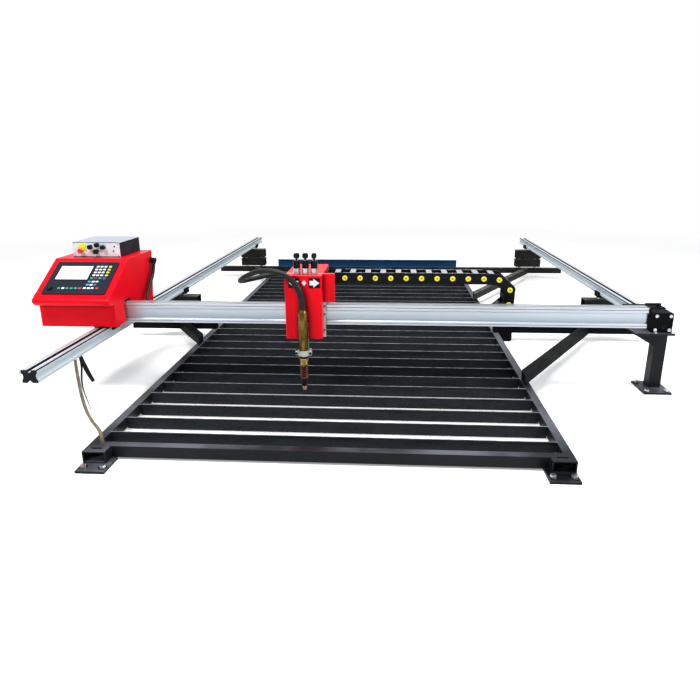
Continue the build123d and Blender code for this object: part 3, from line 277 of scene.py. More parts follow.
# stove enamelled sheet, sprayed: an even satin blue with a slightly dusty upper edge
blueSheet = coated("enamelled_sheet_blue", {
    "colour": "#0f3d66", "shade": "#0c3458", "edge": "#4b6f99", "dustAndSheen": "#4f6b8c", "dustAndSheenShare": 0.35,
    "patchMm": 220, "gritMm": 8, "edgeMm": 1.5, "wearAndHighlight": 0.4, "rough": (0.32, 0.46), "bump": 0.08,
    "shine": 0.2})
# powder coated sheet steel, baked: glossy red with a faint orange peel, a painted highlight on its paler
# edges and painted shade in its dark hollows
redSheet = coated("powder_coated_sheet_red", {
    "colour": "#ee0019", "shade": "#de0017", "edge": "#ff4a55", "creaseShade": "#70000a", "creaseMm": 32,
    "patchMm": 160, "gritMm": 12, "edgeMm": 2.5, "wearAndHighlight": 0.4, "rough": (0.28, 0.38), "bump": 0.05,
    "shine": 0.1})
# screen printed polycarbonate overlay: slate blue, very even, with a soft satin sheen
slateOverlay = coated("printed_overlay_slate", {
    "colour": "#161f2c", "shade": "#121a25", "edge": "#06080c", "patchMm": 90, "gritMm": 5,
    "edgeMm": 1.5, "wearAndHighlight": 0.8, "rough": (0.36, 0.44), "bump": 0.05, "shine": 0.12})
# painted steel case, textured coat: almost black navy with a fine leather-like grain
navyCase = coated("textured_coat_navy", {
    "colour": "#0f1722", "shade": "#0b121a", "edge": "#2c3844", "patchMm": 70, "gritMm": 4,
    "edgeMm": 1.2, "wearAndHighlight": 0.5, "rough": (0.42, 0.55), "bump": 0.25, "shine": 0.12})
# stove enamelled sheet, smooth: a clean cold white, an even grey-blue where it lies flat
whiteSheet = coated("enamelled_sheet_white", {
    "colour": "#dfecf0", "shade": "#d6e4ea", "edge": "#ffffff", "dustAndSheen": "#9aa1b1", "dustAndSheenShare": 1.0,
    "patchy": False, "patchMm": 120, "gritMm": 7, "edgeMm": 1.2, "wearAndHighlight": 0.3, "rough": (0.28, 0.38),
    "bump": 0.04, "shine": 0.15})
# ABS and phenolic knobs, moulded: soft black with paler moulded edges
blackPlastic = coated("moulded_abs_black", {
    "colour": "#090a0c", "shade": "#101114", "edge": "#3a3d41", "patchMm": 40, "gritMm": 3,
    "edgeMm": 0.8, "wearAndHighlight": 0.4, "rough": (0.35, 0.48), "bump": 0.1, "shine": 0.15})
# cast vinyl film, cut: a flat satin black
blackFilm = coated("vinyl_film_black", {
    "colour": "#0c0c0e", "shade": "#121214", "edge": "#35363a", "patchMm": 30, "gritMm": 3,
    "edgeMm": 0.4, "wearAndHighlight": 0.2, "rough": (0.3, 0.4), "bump": 0.04, "shine": 0.12})
# glass filled nylon, moulded: blue-black, matt, with a slightly mottled skin
blackNylon = coated("glass_filled_nylon_black", {
    "colour": "#07080c", "shade": "#0d0e14", "edge": "#3e434c", "patchMm": 35, "gritMm": 3,
    "edgeMm": 0.9, "wearAndHighlight": 0.35, "rough": (0.38, 0.52), "bump": 0.12, "shine": 0.12})
# glass filled nylon, moulded in grey: the lids of the cable chain, scuffed pale by handling; also the pale
# painted highlight on the side plates' upper edges
greyNylon = coated("glass_filled_nylon_grey", {
    "colour": "#a3a5ab", "shade": "#85888e", "edge": "#d4d5d8", "patchMm": 22, "gritMm": 3,
    "edgeMm": 0.9, "wearAndHighlight": 0.5, "rough": (0.34, 0.48), "bump": 0.15})
# acetal, moulded in signal yellow: waxy and even
yellowAcetal = coated("moulded_acetal_yellow", {
    "colour": "#f4ec14", "shade": "#ece20e", "edge": "#fbf58a", "patchMm": 18, "gritMm": 2,
    "edgeMm": 0.6, "wearAndHighlight": 0.4, "rough": (0.3, 0.4), "bump": 0.05})
# the same acetal in the caps' dimples, painted a darker ochre
darkYellow = coated("moulded_acetal_ochre", {
    "colour": "#b59a12", "shade": "#a0850e", "edge": "#d9c443", "patchMm": 18, "gritMm": 2,
    "edgeMm": 0.6, "wearAndHighlight": 0.3, "rough": (0.35, 0.5), "bump": 0.05})
# ABS plate, printed: warm yellow, satin
yellowPlate = coated("printed_abs_yellow", {
    "colour": "#f2ee1c", "shade": "#e9e414", "edge": "#fbf8a0", "patchMm": 25, "gritMm": 3,
    "edgeMm": 0.6, "wearAndHighlight": 0.3, "rough": (0.32, 0.42), "bump": 0.05})
# ABS button, moulded: clear red with a polished crown
redButton = coated("moulded_abs_red", {
    "colour": "#d3151c", "shade": "#bf1018", "edge": "#ef6a6c", "patchMm": 12, "gritMm": 2,
    "edgeMm": 0.8, "wearAndHighlight": 0.3, "rough": (0.22, 0.32), "bump": 0.03, "gloss": 0.3})
# extruded rubber hose: charcoal, lightly chalked, with a dull sheen
rubberHose = coated("extruded_rubber_charcoal", {
    "colour": "#0a0b0d", "shade": "#101113", "edge": "#3a3d40", "patchMm": 30, "gritMm": 4,
    "edgeMm": 0.5, "wearAndHighlight": 0.0, "rough": (0.36, 0.48), "bump": 0.15, "shine": 0.25})
# plasticised PVC sheath, extruded: khaki, waxy, with dirt in patches
khakiSheath = coated("extruded_pvc_khaki", {
    "colour": "#776b4e", "shade": "#5a503a", "edge": "#968a6a", "patchMm": 26, "gritMm": 3,
    "edgeMm": 0.5, "wearAndHighlight": 0.0, "rough": (0.38, 0.5), "bump": 0.1})

# 6063 aluminium, extruded and satin anodised: pale silver with faint die lines along its length, painted
# shade on its recessed web and in its grooves
beamAluminium = metalled("anodised_extrusion_beam", {
    "colour": "#c6ccd4", "shade": "#bac2cb", "streak": "#dde2e7", "streaky": 0.25, "edge": "#ffffff",
    "streakMm": (600, 9, 9), "patchMm": 480, "edgeMm": 1.0, "wearAndHighlight": 0.4, "rough": (0.3, 0.4),
    "bump": 0.015, "metallic": 0.7, "band": (312, 352, 2), "bandColour": "#cdd5dd", "bandLow": "#8f9fac",
    "grooveShade": "#3a4046", "grooveMm": 12})
# the same extrusion on the rails: paler on top, the flanks bluer and duller in painted shade, and painted
# shade lines at the slots
railAluminium = metalled("anodised_extrusion_rail", {
    "colour": "#e4e8ec", "shade": "#dbe1e7", "streak": "#f1f3f5", "streaky": 0.2, "edge": "#ffffff",
    "streakMm": (7, 600, 7), "patchMm": 380, "edgeMm": 0.8, "wearAndHighlight": 0.4, "rough": (0.32, 0.42), "bump": 0.015,
    "metallic": 0.55, "flankShade": "#c0cdd6", "slotShadeTone": "#232429", "middleX": 5, "halfGauge": 1095,
    "lines": [(23.7, 1.7, 290.6, 294.6), (-6, 2.6, 283, 294.5)]})  # middle, half width, low and high
# 6061 aluminium plate, milled and bead blasted: warm grey and quite dull
plateAluminium = metalled("bead_blasted_plate", {
    "colour": "#c3c3bd", "shade": "#b2b3ae", "streak": "#d3d3cd", "streaky": 0.4, "edge": "#ececea",
    "streakMm": (6, 6, 6), "patchMm": 90, "edgeMm": 1.0, "wearAndHighlight": 0.5, "rough": (0.45, 0.58), "bump": 0.1})
# mild steel, zinc plated: cool bright grey, cloudy from handling
zincLook = {
    "colour": "#c9ccce", "shade": "#a9adb0", "streak": "#e3e5e6", "streaky": 0.4, "edge": "#f4f5f5",
    "streakMm": (3, 3, 3), "patchMm": 14, "edgeMm": 0.6, "wearAndHighlight": 0.5, "rough": (0.24, 0.4), "bump": 0.1}
zincSteel = metalled("zinc_plated_steel", zincLook)
# the same plating on the end block, where the middle bolt is blackened
blockZinc = metalled("zinc_plated_steel_block", {
    **zincLook, "band": (267, 281, 0.5), "bandColour": "#0e0f11", "bandLow": "#0e0f11"})
# and on the floor bolts, whose washers were painted over with the feet
floorZinc = metalled("zinc_plated_steel_floor", {
    **zincLook, "colour": "#d4d7d9", "shade": "#b4b8bb", "streak": "#eceeef", "wearAndHighlight": 0.3,
    "rough": (0.22, 0.36), "band": (-5, 10.2, 0.2), "bandColour": "#26282d", "bandLow": "#26282d"})
# copper, turned and oxidised by heat: brown with redder bands round it
brownCopper = metalled("heat_oxidised_copper", {
    "colour": "#6d3f30", "shade": "#512e24", "streak": "#8a5642", "streaky": 0.5, "edge": "#b98667",
    "streakMm": (30, 30, 4), "patchMm": 16, "edgeMm": 0.8, "wearAndHighlight": 0.5, "rough": (0.2, 0.32),
    "bump": 0.08})
# copper, turned: bright and warm, with fine tool rings
brightCopper = metalled("turned_copper", {
    "colour": "#eda377", "shade": "#d98d60", "streak": "#f6c3a2", "streaky": 0.5, "edge": "#f7d3ba",
    "streakMm": (20, 20, 1.5), "patchMm": 9, "edgeMm": 0.6, "wearAndHighlight": 0.5, "rough": (0.3, 0.42),
    "bump": 0.08, "metallic": 0.75})


# hot rolled flat bar: blue-black mill scale, bare and bright along the top where sheets are dragged
barLook = {
    "scale": "#0d1116", "scaleLight": "#191f26", "cloudMm": (160, 40, 22), "cloudDetail": 4.0,
    "rust": "#332e27", "rusty": 0.2, "spotMm": (18, 18, 9), "spotLow": 0.42, "spotHigh": 0.62,
    "bare": "#9a9ea3", "bareMetal": 0.8, "bareFrom": 0.75, "bareTo": 0.95, "nickMm": (34, 6, 8),
    "nickLow": 0.3, "nickHigh": 0.6, "fineDetail": 5.0, "edgeMm": 0.8, "wearAndHighlight": 0.5, "shine": 0.15,
    "rough": (0.36, 0.55), "bump": 0.2, "bumpMm": 0.5}


def scaledBar(name, look):
    material, tree, shader = startMaterial(name, {"Specular IOR Level": look["shine"]})
    clouds = pattern(tree, look["cloudMm"], look["cloudDetail"])
    spots = pattern(tree, look["spotMm"], look["fineDetail"], look["spotLow"], look["spotHigh"])
    nicks = pattern(tree, look["nickMm"], look["fineDetail"], look["nickLow"], look["nickHigh"])
    soft, rubAndHighlight = edgesOf(tree, look["edgeMm"])
    onTop = facingUp(tree, look["bareFrom"], look["bareTo"])
    bare = addNode(tree, "Math", {0: onTop, 1: nicks}, operation="MULTIPLY").outputs[0]
    rubbed = addNode(tree, "Math", {0: rubAndHighlight, 1: look["wearAndHighlight"]}, operation="MULTIPLY").outputs[0]
    worn = addNode(tree, "Math", {0: bare, 1: rubbed}, operation="MAXIMUM").outputs[0]
    shiny = addNode(tree, "Math", {0: worn, 1: look["bareMetal"]}, operation="MULTIPLY").outputs[0]
    tone = layTones(tree, linear(look["scale"]), [
        (look["scaleLight"], 1, clouds), (look["rust"], look["rusty"], spots), (look["bare"], 1, worn)])
    feed(tree, shader, {"Metallic": shiny})
    finishSurface(tree, shader, look, tone, clouds, spots, soft)
    return material


def twoToned(name, look):  # turned metal with one finish below a level and another above it
    material, tree, shader = startMaterial(name, {"Metallic": 1.0})
    rings = pattern(tree, look["ringMm"], look["detail"])
    blots = pattern(tree, look["blotMm"], look["detail"])
    soft, rubAndHighlight = edgesOf(tree, look["edgeMm"])
    upper = layTones(tree, linear(look["upper"]), [(look["upperShade"], 1, blots)])
    tone = layTones(tree, linear(look["lower"]), [
        (look["lowerShade"], 1, rings), (upper, 1, heightMask(tree, look["levelMm"], look["fadeMm"])),
        (look["edge"], look["wearAndHighlight"], rubAndHighlight)])
    finishSurface(tree, shader, look, tone, blots, rings, soft)
    return material


# display window: pale grey glass over a lit panel, with faint rows of cells
glassLook = {
    "colour": "#f4f7f9", "haze": "#e3eaf0", "hazeMm": (90, 90, 90), "row": "#cfd8e0",
    "rowMm": (300, 3, 3), "rowShow": 0.1, "glow": "#eef4f8", "glowStrength": 0.12, "coat": 0.6,
    "coatRough": 0.05, "rough": (0.12, 0.2)}


def displayGlass(name, look):
    material, tree, shader = startMaterial(name, {
        "Coat Weight": look["coat"], "Coat Roughness": look["coatRough"],
        "Emission Color": linear(look["glow"]), "Emission Strength": look["glowStrength"]})
    haze = pattern(tree, look["hazeMm"], detail=1.0)
    rows = pattern(tree, look["rowMm"], detail=0.0)
    tone = layTones(tree, linear(look["colour"]), [
        (look["haze"], 1, haze), (look["row"], look["rowShow"], rows)])
    smooth, dull = look["rough"]
    rough = addNode(tree, "MapRange", {"Value": haze, "To Min": smooth, "To Max": dull})
    feed(tree, shader, {"Base Color": tone, "Roughness": rough.outputs[0]})
    return material


slatSteel = scaledBar("hot_rolled_flat_bar", barLook)
# brass torch, turned: olive tarnish on the grip tube, cleaner below its clamp
torchMetal = twoToned("turned_brass_tarnished", {
    "upper": "#6f5c2c", "upperShade": "#463918", "lower": "#c2a968", "lowerShade": "#a58c4d",
    "edge": "#e5d39c", "levelMm": 208, "fadeMm": 1, "ringMm": (60, 60, 5), "blotMm": (14, 14, 46),
    "detail": 4.0, "edgeMm": 1.0, "wearAndHighlight": 0.6, "rough": (0.16, 0.34), "bump": 0.12, "bumpMm": 0.3})
# gas valves, turned brass: a nickel plated hexagon below, a blackened body above
valveFinish = twoToned("plated_and_blackened_brass", {
    "upper": "#202226", "upperShade": "#202226", "lower": "#cfd2d4", "lowerShade": "#cfd2d4",
    "edge": "#e6e8ea", "levelMm": 520, "fadeMm": 0.5, "ringMm": (40, 40, 3), "blotMm": (40, 40, 3),
    "detail": 3.0, "edgeMm": 0.8, "wearAndHighlight": 0.5, "rough": (0.2, 0.34), "bump": 0.1, "bumpMm": 0.2})
screenGlass = displayGlass("display_glass_pale", glassLook)
print("materials made:", len(bpy.data.materials))

# which finish each CAD node wears
finishes = [
    (frameSteel, ["table_frame", "right_leg"]),
    (riserSteel, ["back_cross_arm", "riser_tubes"]),
    (blackSteel, ["mid_arms", "rail_end_block", "right_carriage", "left_carriage", "rail_saddles",
                  "carriage_motors", "travel_motor"]),
    (slatSteel, ["table_slats"]),
    (blockZinc, ["block_bolts"]),
    (floorZinc, ["floor_anchor_bolts"]),
    (zincSteel, ["levelling_screws", "travel_rack", "cross_rack", "travel_pinion", "traverse_pinion",
                 "lift_screw", "left_front_roller", "left_rear_roller", "right_roller"]),
    (blueSheet, ["rear_panel"]),
    (beamAluminium, ["beam", "chain_tray"]),
    (railAluminium, ["left_rail", "right_rail"]),
    (plateAluminium, ["carriage_plate", "torch_holder"]),
    (blackPlastic, ["rail_end_caps", "clamp_lever", "port_cap", "torch_collar",
                    *(f"setting_knob_{number}" for number in range(1, 5)),
                    *(f"valve_knob_{number}" for number in range(1, 4))]),
    (blackNylon, ["chain_upper_run", "chain_turn", "chain_lower_run"]),
    (redSheet, ["console_housing", "lifter_cover", "rear_cover"]),
    (slateOverlay, ["controller_panel"]),
    (navyCase, ["height_box_case"]),
    (whiteSheet, ["height_box_cover"]),
    (screenGlass, ["controller_screen"]),
    (yellowPlate, ["estop_plate"]),
    (redButton, ["estop_button"]),
    (valveFinish, ["valve_bodies"]),
    (torchMetal, ["torch_body"]),
    (brownCopper, ["torch_shield"]),
    (brightCopper, ["torch_tip"]),
    (rubberHose, ["torch_hose", "console_conduit"]),
    (khakiSheath, ["earth_cable"]),
]
for finish, names in finishes:
    for name in names:
        for slot in nodes[name].material_slots:
            slot.material = finish
print("finishes given")


# mesh helpers: each shape is a small mesh, sized in millimetres, that is put into a piece
def put(piece, shape, finish=0, place=Matrix()):
    for face in shape.faces:
        face.material_index = face.material_index or finish
    shape.transform(place)
    spare = bpy.data.meshes.new("spare")
    shape.to_mesh(spare)
    shape.free()
    piece.from_mesh(spare)
    bpy.data.meshes.remove(spare)


def roundEdges(shape, edges, reach, steps=2):
    bmesh.ops.bevel(shape, geom=edges[:], offset=reach * mm, segments=steps, profile=0.5, affect="EDGES")


def bridge(shape, rings):  # faces between rings of points, where a ring may be a single point
    sides = max(len(ring) for ring in rings)
    for lower, upper in zip(rings, rings[1:]):
        for i in range(sides):
            k = (i + 1) % sides
            corners = [ring[n % len(ring)] for ring, n in ((lower, i), (lower, k), (upper, k), (upper, i))]
            shape.faces.new(list(dict.fromkeys(corners)))


def slab(size, edge, steps=2):  # box about the origin with rounded edges
    shape = bmesh.new()
    bmesh.ops.create_cube(shape, size=1)
    shape.transform(Matrix.Diagonal([side * mm for side in size] + [1]))
    roundEdges(shape, shape.edges, edge, steps)
    return shape


def turned(profile, sides):  # (radius, height) pairs turned about Z, closed where radius is 0
    shape = bmesh.new()
    rings = []
    for radius, height in profile:
        turns = [2 * pi * i / sides for i in range(sides if radius > 0 else 1)]
        rings.append([shape.verts.new(at(radius * cos(a), radius * sin(a), height)) for a in turns])
    bridge(shape, rings)
    return shape


def plate(outline, thickness, edge=0.0):  # flat outline in XY, raised to thickness, top edge rounded
    shape = bmesh.new()
    low, high = [[shape.verts.new(at(x, y, z)) for x, y in outline] for z in (0, thickness)]
    shape.faces.new(low[::-1])
    top = shape.faces.new(high)
    bridge(shape, [low, high])
    if edge:
        roundEdges(shape, top.edges, edge)
    return shape


def roundedBox(wide, tall, corner, steps=4):  # outline of a rectangle with round corners
    points = []
    for quarter, (sx, sy) in enumerate(((1, 1), (-1, 1), (-1, -1), (1, -1))):
        for step in range(steps + 1):
            angle = pi / 2 * (quarter + step / steps)
            points.append((sx * (wide / 2 - corner) + corner * cos(angle),
                           sy * (tall / 2 - corner) + corner * sin(angle)))
    return points


def tube(points, radii, sides):  # closed tube along points, with a radius at each
    shape = bmesh.new()
    rings = []
    side = None
    for i, point in enumerate(points):
        ahead = (points[min(i + 1, len(points) - 1)] - points[max(i - 1, 0)]).normalized()
        side = ahead.orthogonal() if side is None else side - ahead * side.dot(ahead)
        side.normalize()
        other = ahead.cross(side)
        turns = [2 * pi * k / sides for k in range(sides)]
        spokes = [(side * cos(a) + other * sin(a)) * radii[i] * mm for a in turns]
        rings.append([shape.verts.new(point + spoke) for spoke in spokes])
    bridge(shape, rings)
    shape.faces.new(rings[0][::-1])
    shape.faces.new(rings[-1])
    return shape


def newPiece(name, piece, finish, body=None, smooth=35):  # smooth up to this angle between faces
    bmesh.ops.recalc_face_normals(piece, faces=piece.faces[:])
    mesh = bpy.data.meshes.new(name)
    piece.to_mesh(mesh)
    piece.free()
    for material in finish:
        mesh.materials.append(material)
    mesh.shade_smooth()
    mesh.set_sharp_from_angle(angle=radians(smooth))
    made = bpy.data.objects.new(name, mesh)
    scene.collection.objects.link(made)
    if body:
        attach(made, body)
    return made


turnY = Matrix.Rotation(radians(90), 4, "X")  # local Z to -Y
turnX = Matrix.Rotation(radians(90), 4, "Y")  # local Z to +X

# free cords on smooth lines through the same route points as the solids
cordSet = {"steps": 12, "sideSteps": 6, "sides": 24, "smooth": 60}
hose = {"diameter": 20, "length": 748, "points": [
    (-306, -1150, 374), (-306, -1150, 428), (-334, -1148, 480), (-390, -1140, 516), (-463, -1119, 517),
    (-526, -1076, 490), (-571, -1015, 459), (-588, -941, 440), (-564, -877, 435), (-504, -852, 447),
    (-440, -868, 459), (-376, -868, 459)], "liftsFrom": (-306, -1150, 459), "liftsTo": (-306, -1010, 459),
    "sleeveRadius": 13.2, "sleeveEnd": 10.15, "sleeveLength": 78, "sleeveTaper": 46}
earth = {"diameter": 11, "length": 407, "points": [
    (-1073, -1400, 252), (-1073, -1400, 214), (-1057, -1425, 172), (-1033, -1463, 138), (-998, -1511, 106),
    (-955, -1561, 90), (-917, -1603, 88), (-894, -1630, 82), (-889, -1636, 66), (-889, -1636, 47)]}
conduit = {"diameter": 14, "length": 1140, "points": [
    (-1010, -770, 484), (-1010, -779, 460), (-1010, -798, 434), (-1010, -838, 399), (-1008, -880, 364),
    (-996, -918, 334), (-962, -940, 313), (-908, -944, 304), (-835, -932, 297.3), (-730, -922, 297.3),
    (-570, -918, 297.3), (-410, -924, 297.3), (-250, -919, 297.3), (-82.8, -919, 297.3)]}
gland = {
    "wallX": -1025, "hub": [(0, 0), (11, 0), (11, 4), (9, 4.6), (9, 22.5), (7.5, 24), (0, 24)],
    "hubSides": 24, "cap": [(0, 0), (8, 0), (8, 5), (9.6, 5.6), (9.6, 13.6), (8.4, 15), (0, 15)],
    "capLong": 15, "capSides": 12}
# loose strap and lead beside the earth cable, under the left rail
strap = {"points": [(-1072, -1364, 251.5), (-1063, -1362, 205), (-1039, -1360, 154)], "wide": 16, "tip": 12,
         "sides": 16}
lead = {"points": [(-1069, -1376, 251.5), (-1062, -1380, 224), (-1070, -1380, 178), (-1072, -1380, 140),
                   (-1065.5, -1380, 104.5), (-1052, -1380, 52.5)], "radius": 3.6, "tip": 1.0, "sides": 10}


def routeCurve(name, points, diameterMm, finish):
    data = bpy.data.curves.new(name, "CURVE")
    data.dimensions = "3D"
    data.resolution_u = cordSet["steps"]
    spline = data.splines.new("NURBS")
    spline.points.add(len(points) - 1)
    for knot, point in zip(spline.points, points):
        knot.co = (*at(*point), 1)
    spline.order_u = 3
    spline.use_endpoint_u = True
    data.bevel_depth = diameterMm * mm / 2
    data.bevel_resolution = cordSet["sideSteps"]
    data.use_fill_caps = True
    data.materials.append(finish)
    made = bpy.data.objects.new(name, data)
    scene.collection.objects.link(made)
    return made


def routeLine(points):  # points read from the route's own spline
    guide = routeCurve("guide", points, 0, rubberHose)
    mesh = bpy.data.meshes.new_from_object(guide)
    line = [vertex.co.copy() for vertex in mesh.vertices]
    bpy.data.objects.remove(guide)
    bpy.data.meshes.remove(mesh)
    return line


def makeSleeve(line):  # shrink sleeve over the hose where it leaves the torch
    reach, taper = hose["sleeveLength"], hose["sleeveTaper"]
    points, radii, walked = [], [], 0
    for i, point in enumerate(line):
        walked += (point - line[i - 1]).length / mm if i else 0
        if walked > reach + taper:
            break
        share = min(max((walked - reach) / taper, 0), 1)
        points.append(point)
        radii.append(hose["sleeveRadius"] * (1 - share) + hose["sleeveEnd"] * share)
    piece = bmesh.new()
    put(piece, tube(points, radii, cordSet["sides"]))
    made = newPiece("torch_hose_sleeve", piece, [rubberHose], smooth=cordSet["smooth"])
    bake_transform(made)
    return made


def makeGland():  # elbow gland that holds the conduit to the console's side
    first, second = at(*conduit["points"][0]), at(*conduit["points"][1])
    ahead = (second - first).normalized()
    elbow = first - ahead * gland["capLong"] * mm
    wall = Vector((gland["wallX"] * mm, elbow.y, elbow.z))
    way = ahead.to_track_quat("Z", "Y").to_matrix().to_4x4()
    piece = bmesh.new()
    put(piece, turned(gland["hub"], gland["hubSides"]), 0, Matrix.Translation(wall) @ turnX)
    put(piece, turned(gland["cap"], gland["capSides"]), 0, Matrix.Translation(elbow) @ way)
    return newPiece("conduit_gland", piece, [blackNylon], "gantry")


def makeLooseEnds():  # a slack rubber strap and a thin lead, both clipped under the rail
    piece = bmesh.new()
    line = routeLine(lead["points"])
    steps = len(line)
    radii = [lead["radius"] + (lead["tip"] - lead["radius"]) * (i / steps) ** 2 for i in range(steps)]
    put(piece, tube(line, radii, lead["sides"]))
    line = routeLine(strap["points"])
    steps = len(line) + 1
    swell = [sin(pi * i / steps) for i in range(1, steps)]  # widest half way along
    radii = [(strap["tip"] + (strap["wide"] - strap["tip"]) * share) / 2 for share in swell]
    put(piece, tube(line, radii, strap["sides"]))
    return newPiece("loose_strap_and_lead", piece, [blackPlastic], "machine_base",
                    smooth=cordSet["smooth"])


def layCords():
    line = routeLine(hose["points"])
    piece = bmesh.new()
    put(piece, tube(line, [hose["diameter"] / 2] * len(line), cordSet["sides"]))
    made = newPiece("torch_hose_bent", piece, [rubberHose], smooth=cordSet["smooth"])
    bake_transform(made)
    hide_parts("torch_hose")
    makeSleeve(line)
    for name, look, finish, slotName, body, node, extra in (
            ("earth_cable_run", earth, khakiSheath, "khaki", "machine_base", "earth_cable", makeLooseEnds()),
            ("console_conduit_run", conduit, rubberHose, "hose_rubber", "gantry", "console_conduit",
             makeGland())):
        made = routeCurve(name, look["points"], look["diameter"], finish)
        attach(made, body)
        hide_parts(node)
        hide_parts(node)


layCords()
print("cords laid")

# cable chain: links with side plates, grey lids and yellow pin caps
chain = {
    "startX": -192, "wallX": -236, "firstPin": 30, "pitch": 61, "turnX": 425, "radius": 72,
    "upperZ": 458, "front": -950, "back": -860, "middle": -905, "plate": 4, "plateGap": 0.4,
    "height": 44, "sideRound": 21.5, "sideSteps": 8, "overlap": 14, "upperLinks": 9, "turnLinks": 5,
    "lowerLinks": 7, "lidWide": 22, "lidThick": 5, "lidEdge": 1.2, "barWide": 15.4, "ribShort": 30,
    "ribTall": 8, "ribRound": 3, "ribProud": 1.2, "ribEdge": 0.5, "highlightFrom": 0.95, "bracket": 40,
    "bracketEdge": 0.8, "floorZ": 290, "capSides": 24, "capGive": 0.65,
    "cap": [(0, 0), (10.4, 0), (10.4, 1.8), (8.944, 3), (4.368, 3), (3.952, 2.16)],
    "dimple": [(3.952, 2.16), (3.12, 1.8), (0, 1.8)]}
chainLooks = [blackNylon, greyNylon, yellowAcetal, darkYellow]
black, grey, yellow, ochre = range(len(chainLooks))
chainFaces = [(chain["front"], turnY), (chain["back"], turnY.inverted())]  # where caps and ribs stand


def chainPin(number):  # the pin line: along the top, round the turn and back below
    s = chain["firstPin"] + chain["pitch"] * number
    straight = chain["turnX"] - chain["startX"]
    bend = pi * chain["radius"]
    if s <= straight:
        return chain["startX"] + s, chain["upperZ"]
    if s <= straight + bend:
        angle = (s - straight) / chain["radius"]
        return (chain["turnX"] + chain["radius"] * sin(angle),
                chain["upperZ"] - chain["radius"] * (1 - cos(angle)))
    return chain["turnX"] - (s - straight - bend), chain["upperZ"] - 2 * chain["radius"]


def sideStep(number):  # every second link sits inside its neighbours
    return (chain["plate"] + chain["plateGap"]) * (number % 2)


def putCap(piece, number):  # pin cap on both sides, with a dimple in the middle
    x, z = chainPin(number)
    for y, way in chainFaces:
        place = shift(x, y, z) @ way
        put(piece, turned(chain["cap"], chain["capSides"]), yellow, place)
        put(piece, turned(chain["dimple"], chain["capSides"]), ochre, place)


def putLink(piece, number):
    x0, z0 = chainPin(number)
    x1, z1 = chainPin(number + 1)
    place = shift((x0 + x1) / 2, 0, (z0 + z1) / 2) @ Matrix.Rotation(-atan2(z1 - z0, x1 - x0), 4, "Y")
    span = hypot(x1 - x0, z1 - z0)
    half = chain["height"] / 2
    step = sideStep(number)
    outline = roundedBox(span + chain["height"], chain["height"], chain["sideRound"], chain["sideSteps"])
    for y in (chain["front"] + step, chain["back"] - step - chain["plate"]):
        side = plate(outline, chain["plate"])
        side.normal_update()
        for face in side.faces:  # upper edges take a pale painted highlight
            if number < chain["upperLinks"] and face.normal.y > chain["highlightFrom"]:
                face.material_index = grey
        put(piece, side, black, place @ shift(0, y + chain["plate"], 0) @ turnY)
    depth = chain["back"] - chain["front"] - 2 * (chain["plate"] + step)
    rise = half - chain["lidThick"] / 2
    for wide, z, look in ((chain["lidWide"], rise, grey), (chain["barWide"], -rise, black)):
        bar = slab((wide, depth, chain["lidThick"]), chain["lidEdge"])  # the lid, and a bar below it
        put(piece, bar, look, place @ shift(0, chain["middle"], z))
    if number % 2 == 0:  # a raised rib between the pins of each outer link
        outline = roundedBox(span - chain["ribShort"], chain["ribTall"], chain["ribRound"])
        for y, way in chainFaces:
            rib = plate(outline, chain["ribProud"], chain["ribEdge"])
            put(piece, rib, black, place @ shift(0, y, 0) @ way)


def putEnd(piece, pinNumber, linkNumber, wallX, low):  # bracket that holds an end of the chain
    x, z = chainPin(pinNumber)
    top = z + chain["height"] / 2
    far = x + (chain["overlap"] if wallX < x else -chain["overlap"])
    step = sideStep(linkNumber)
    thick, edge = chain["plate"], chain["bracketEdge"]
    for y in (chain["front"] + step, chain["back"] - step - thick):
        side = slab((abs(far - wallX), thick, chain["height"]), edge)
        put(piece, side, black, shift((far + wallX) / 2, y + thick / 2, z))
    wide = chain["back"] - chain["front"] - 2 * step
    wall = slab((thick, wide, top - low), edge)
    put(piece, wall, black, shift(wallX + thick / 2, chain["middle"], (top + low) / 2))
    lid = slab((chain["lidWide"], wide - 2 * thick, chain["lidThick"]), chain["lidEdge"])
    put(piece, lid, grey, shift((far + wallX) / 2, chain["middle"], top - chain["lidThick"] / 2))


def followRun(made):  # bakes its place into its mesh
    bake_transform(made)


def makeRun(name, links, pins, endPin, bodies):  # the end bracket, then each link and cap as a piece of its own
    isUpper = endPin == 0
    endX = chainPin(endPin)[0]
    wallX = chain["wallX"] if isUpper else endX - chain["bracket"]
    low = chain["upperZ"] - chain["height"] / 2 if isUpper else chain["floorZ"]
    end = bmesh.new()
    putEnd(end, endPin, endPin + isUpper, wallX, low)
    putCap(end, endPin)
    pieces = [newPiece(f"cable_chain_{name}_end", end, chainLooks, bodies[0])]
    for kind, numbers, build, give in (("link", links, putLink, 1), ("cap", pins, putCap, chain["capGive"])):
        for number in numbers:
            piece = bmesh.new()
            build(piece, number)
            made = newPiece(f"cable_chain_{kind}_{number + 1}", piece, chainLooks)
            followRun(made)
            pieces.append(made)
    for made in pieces:
        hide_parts(f"chain_{name}_run")


def makeChain():
    turnFrom = chain["upperLinks"]
    lowerFrom = turnFrom + chain["turnLinks"]
    last = lowerFrom + chain["lowerLinks"]
    makeRun("upper", range(turnFrom), range(1, turnFrom), 0, ("torch_carriage", "gantry"))
    makeRun("lower", range(lowerFrom, last), range(lowerFrom + 1, last), last, ("gantry", "torch_carriage"))
    bend = bmesh.new()
    for number in range(turnFrom, lowerFrom):
        putLink(bend, number)
    for number in range(turnFrom, lowerFrom + 1):
        putCap(bend, number)
    turnRun = newPiece("cable_chain_turn", bend, chainLooks, "chain_turn")
    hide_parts("chain_turn")


makeChain()
print("cable chain linked")

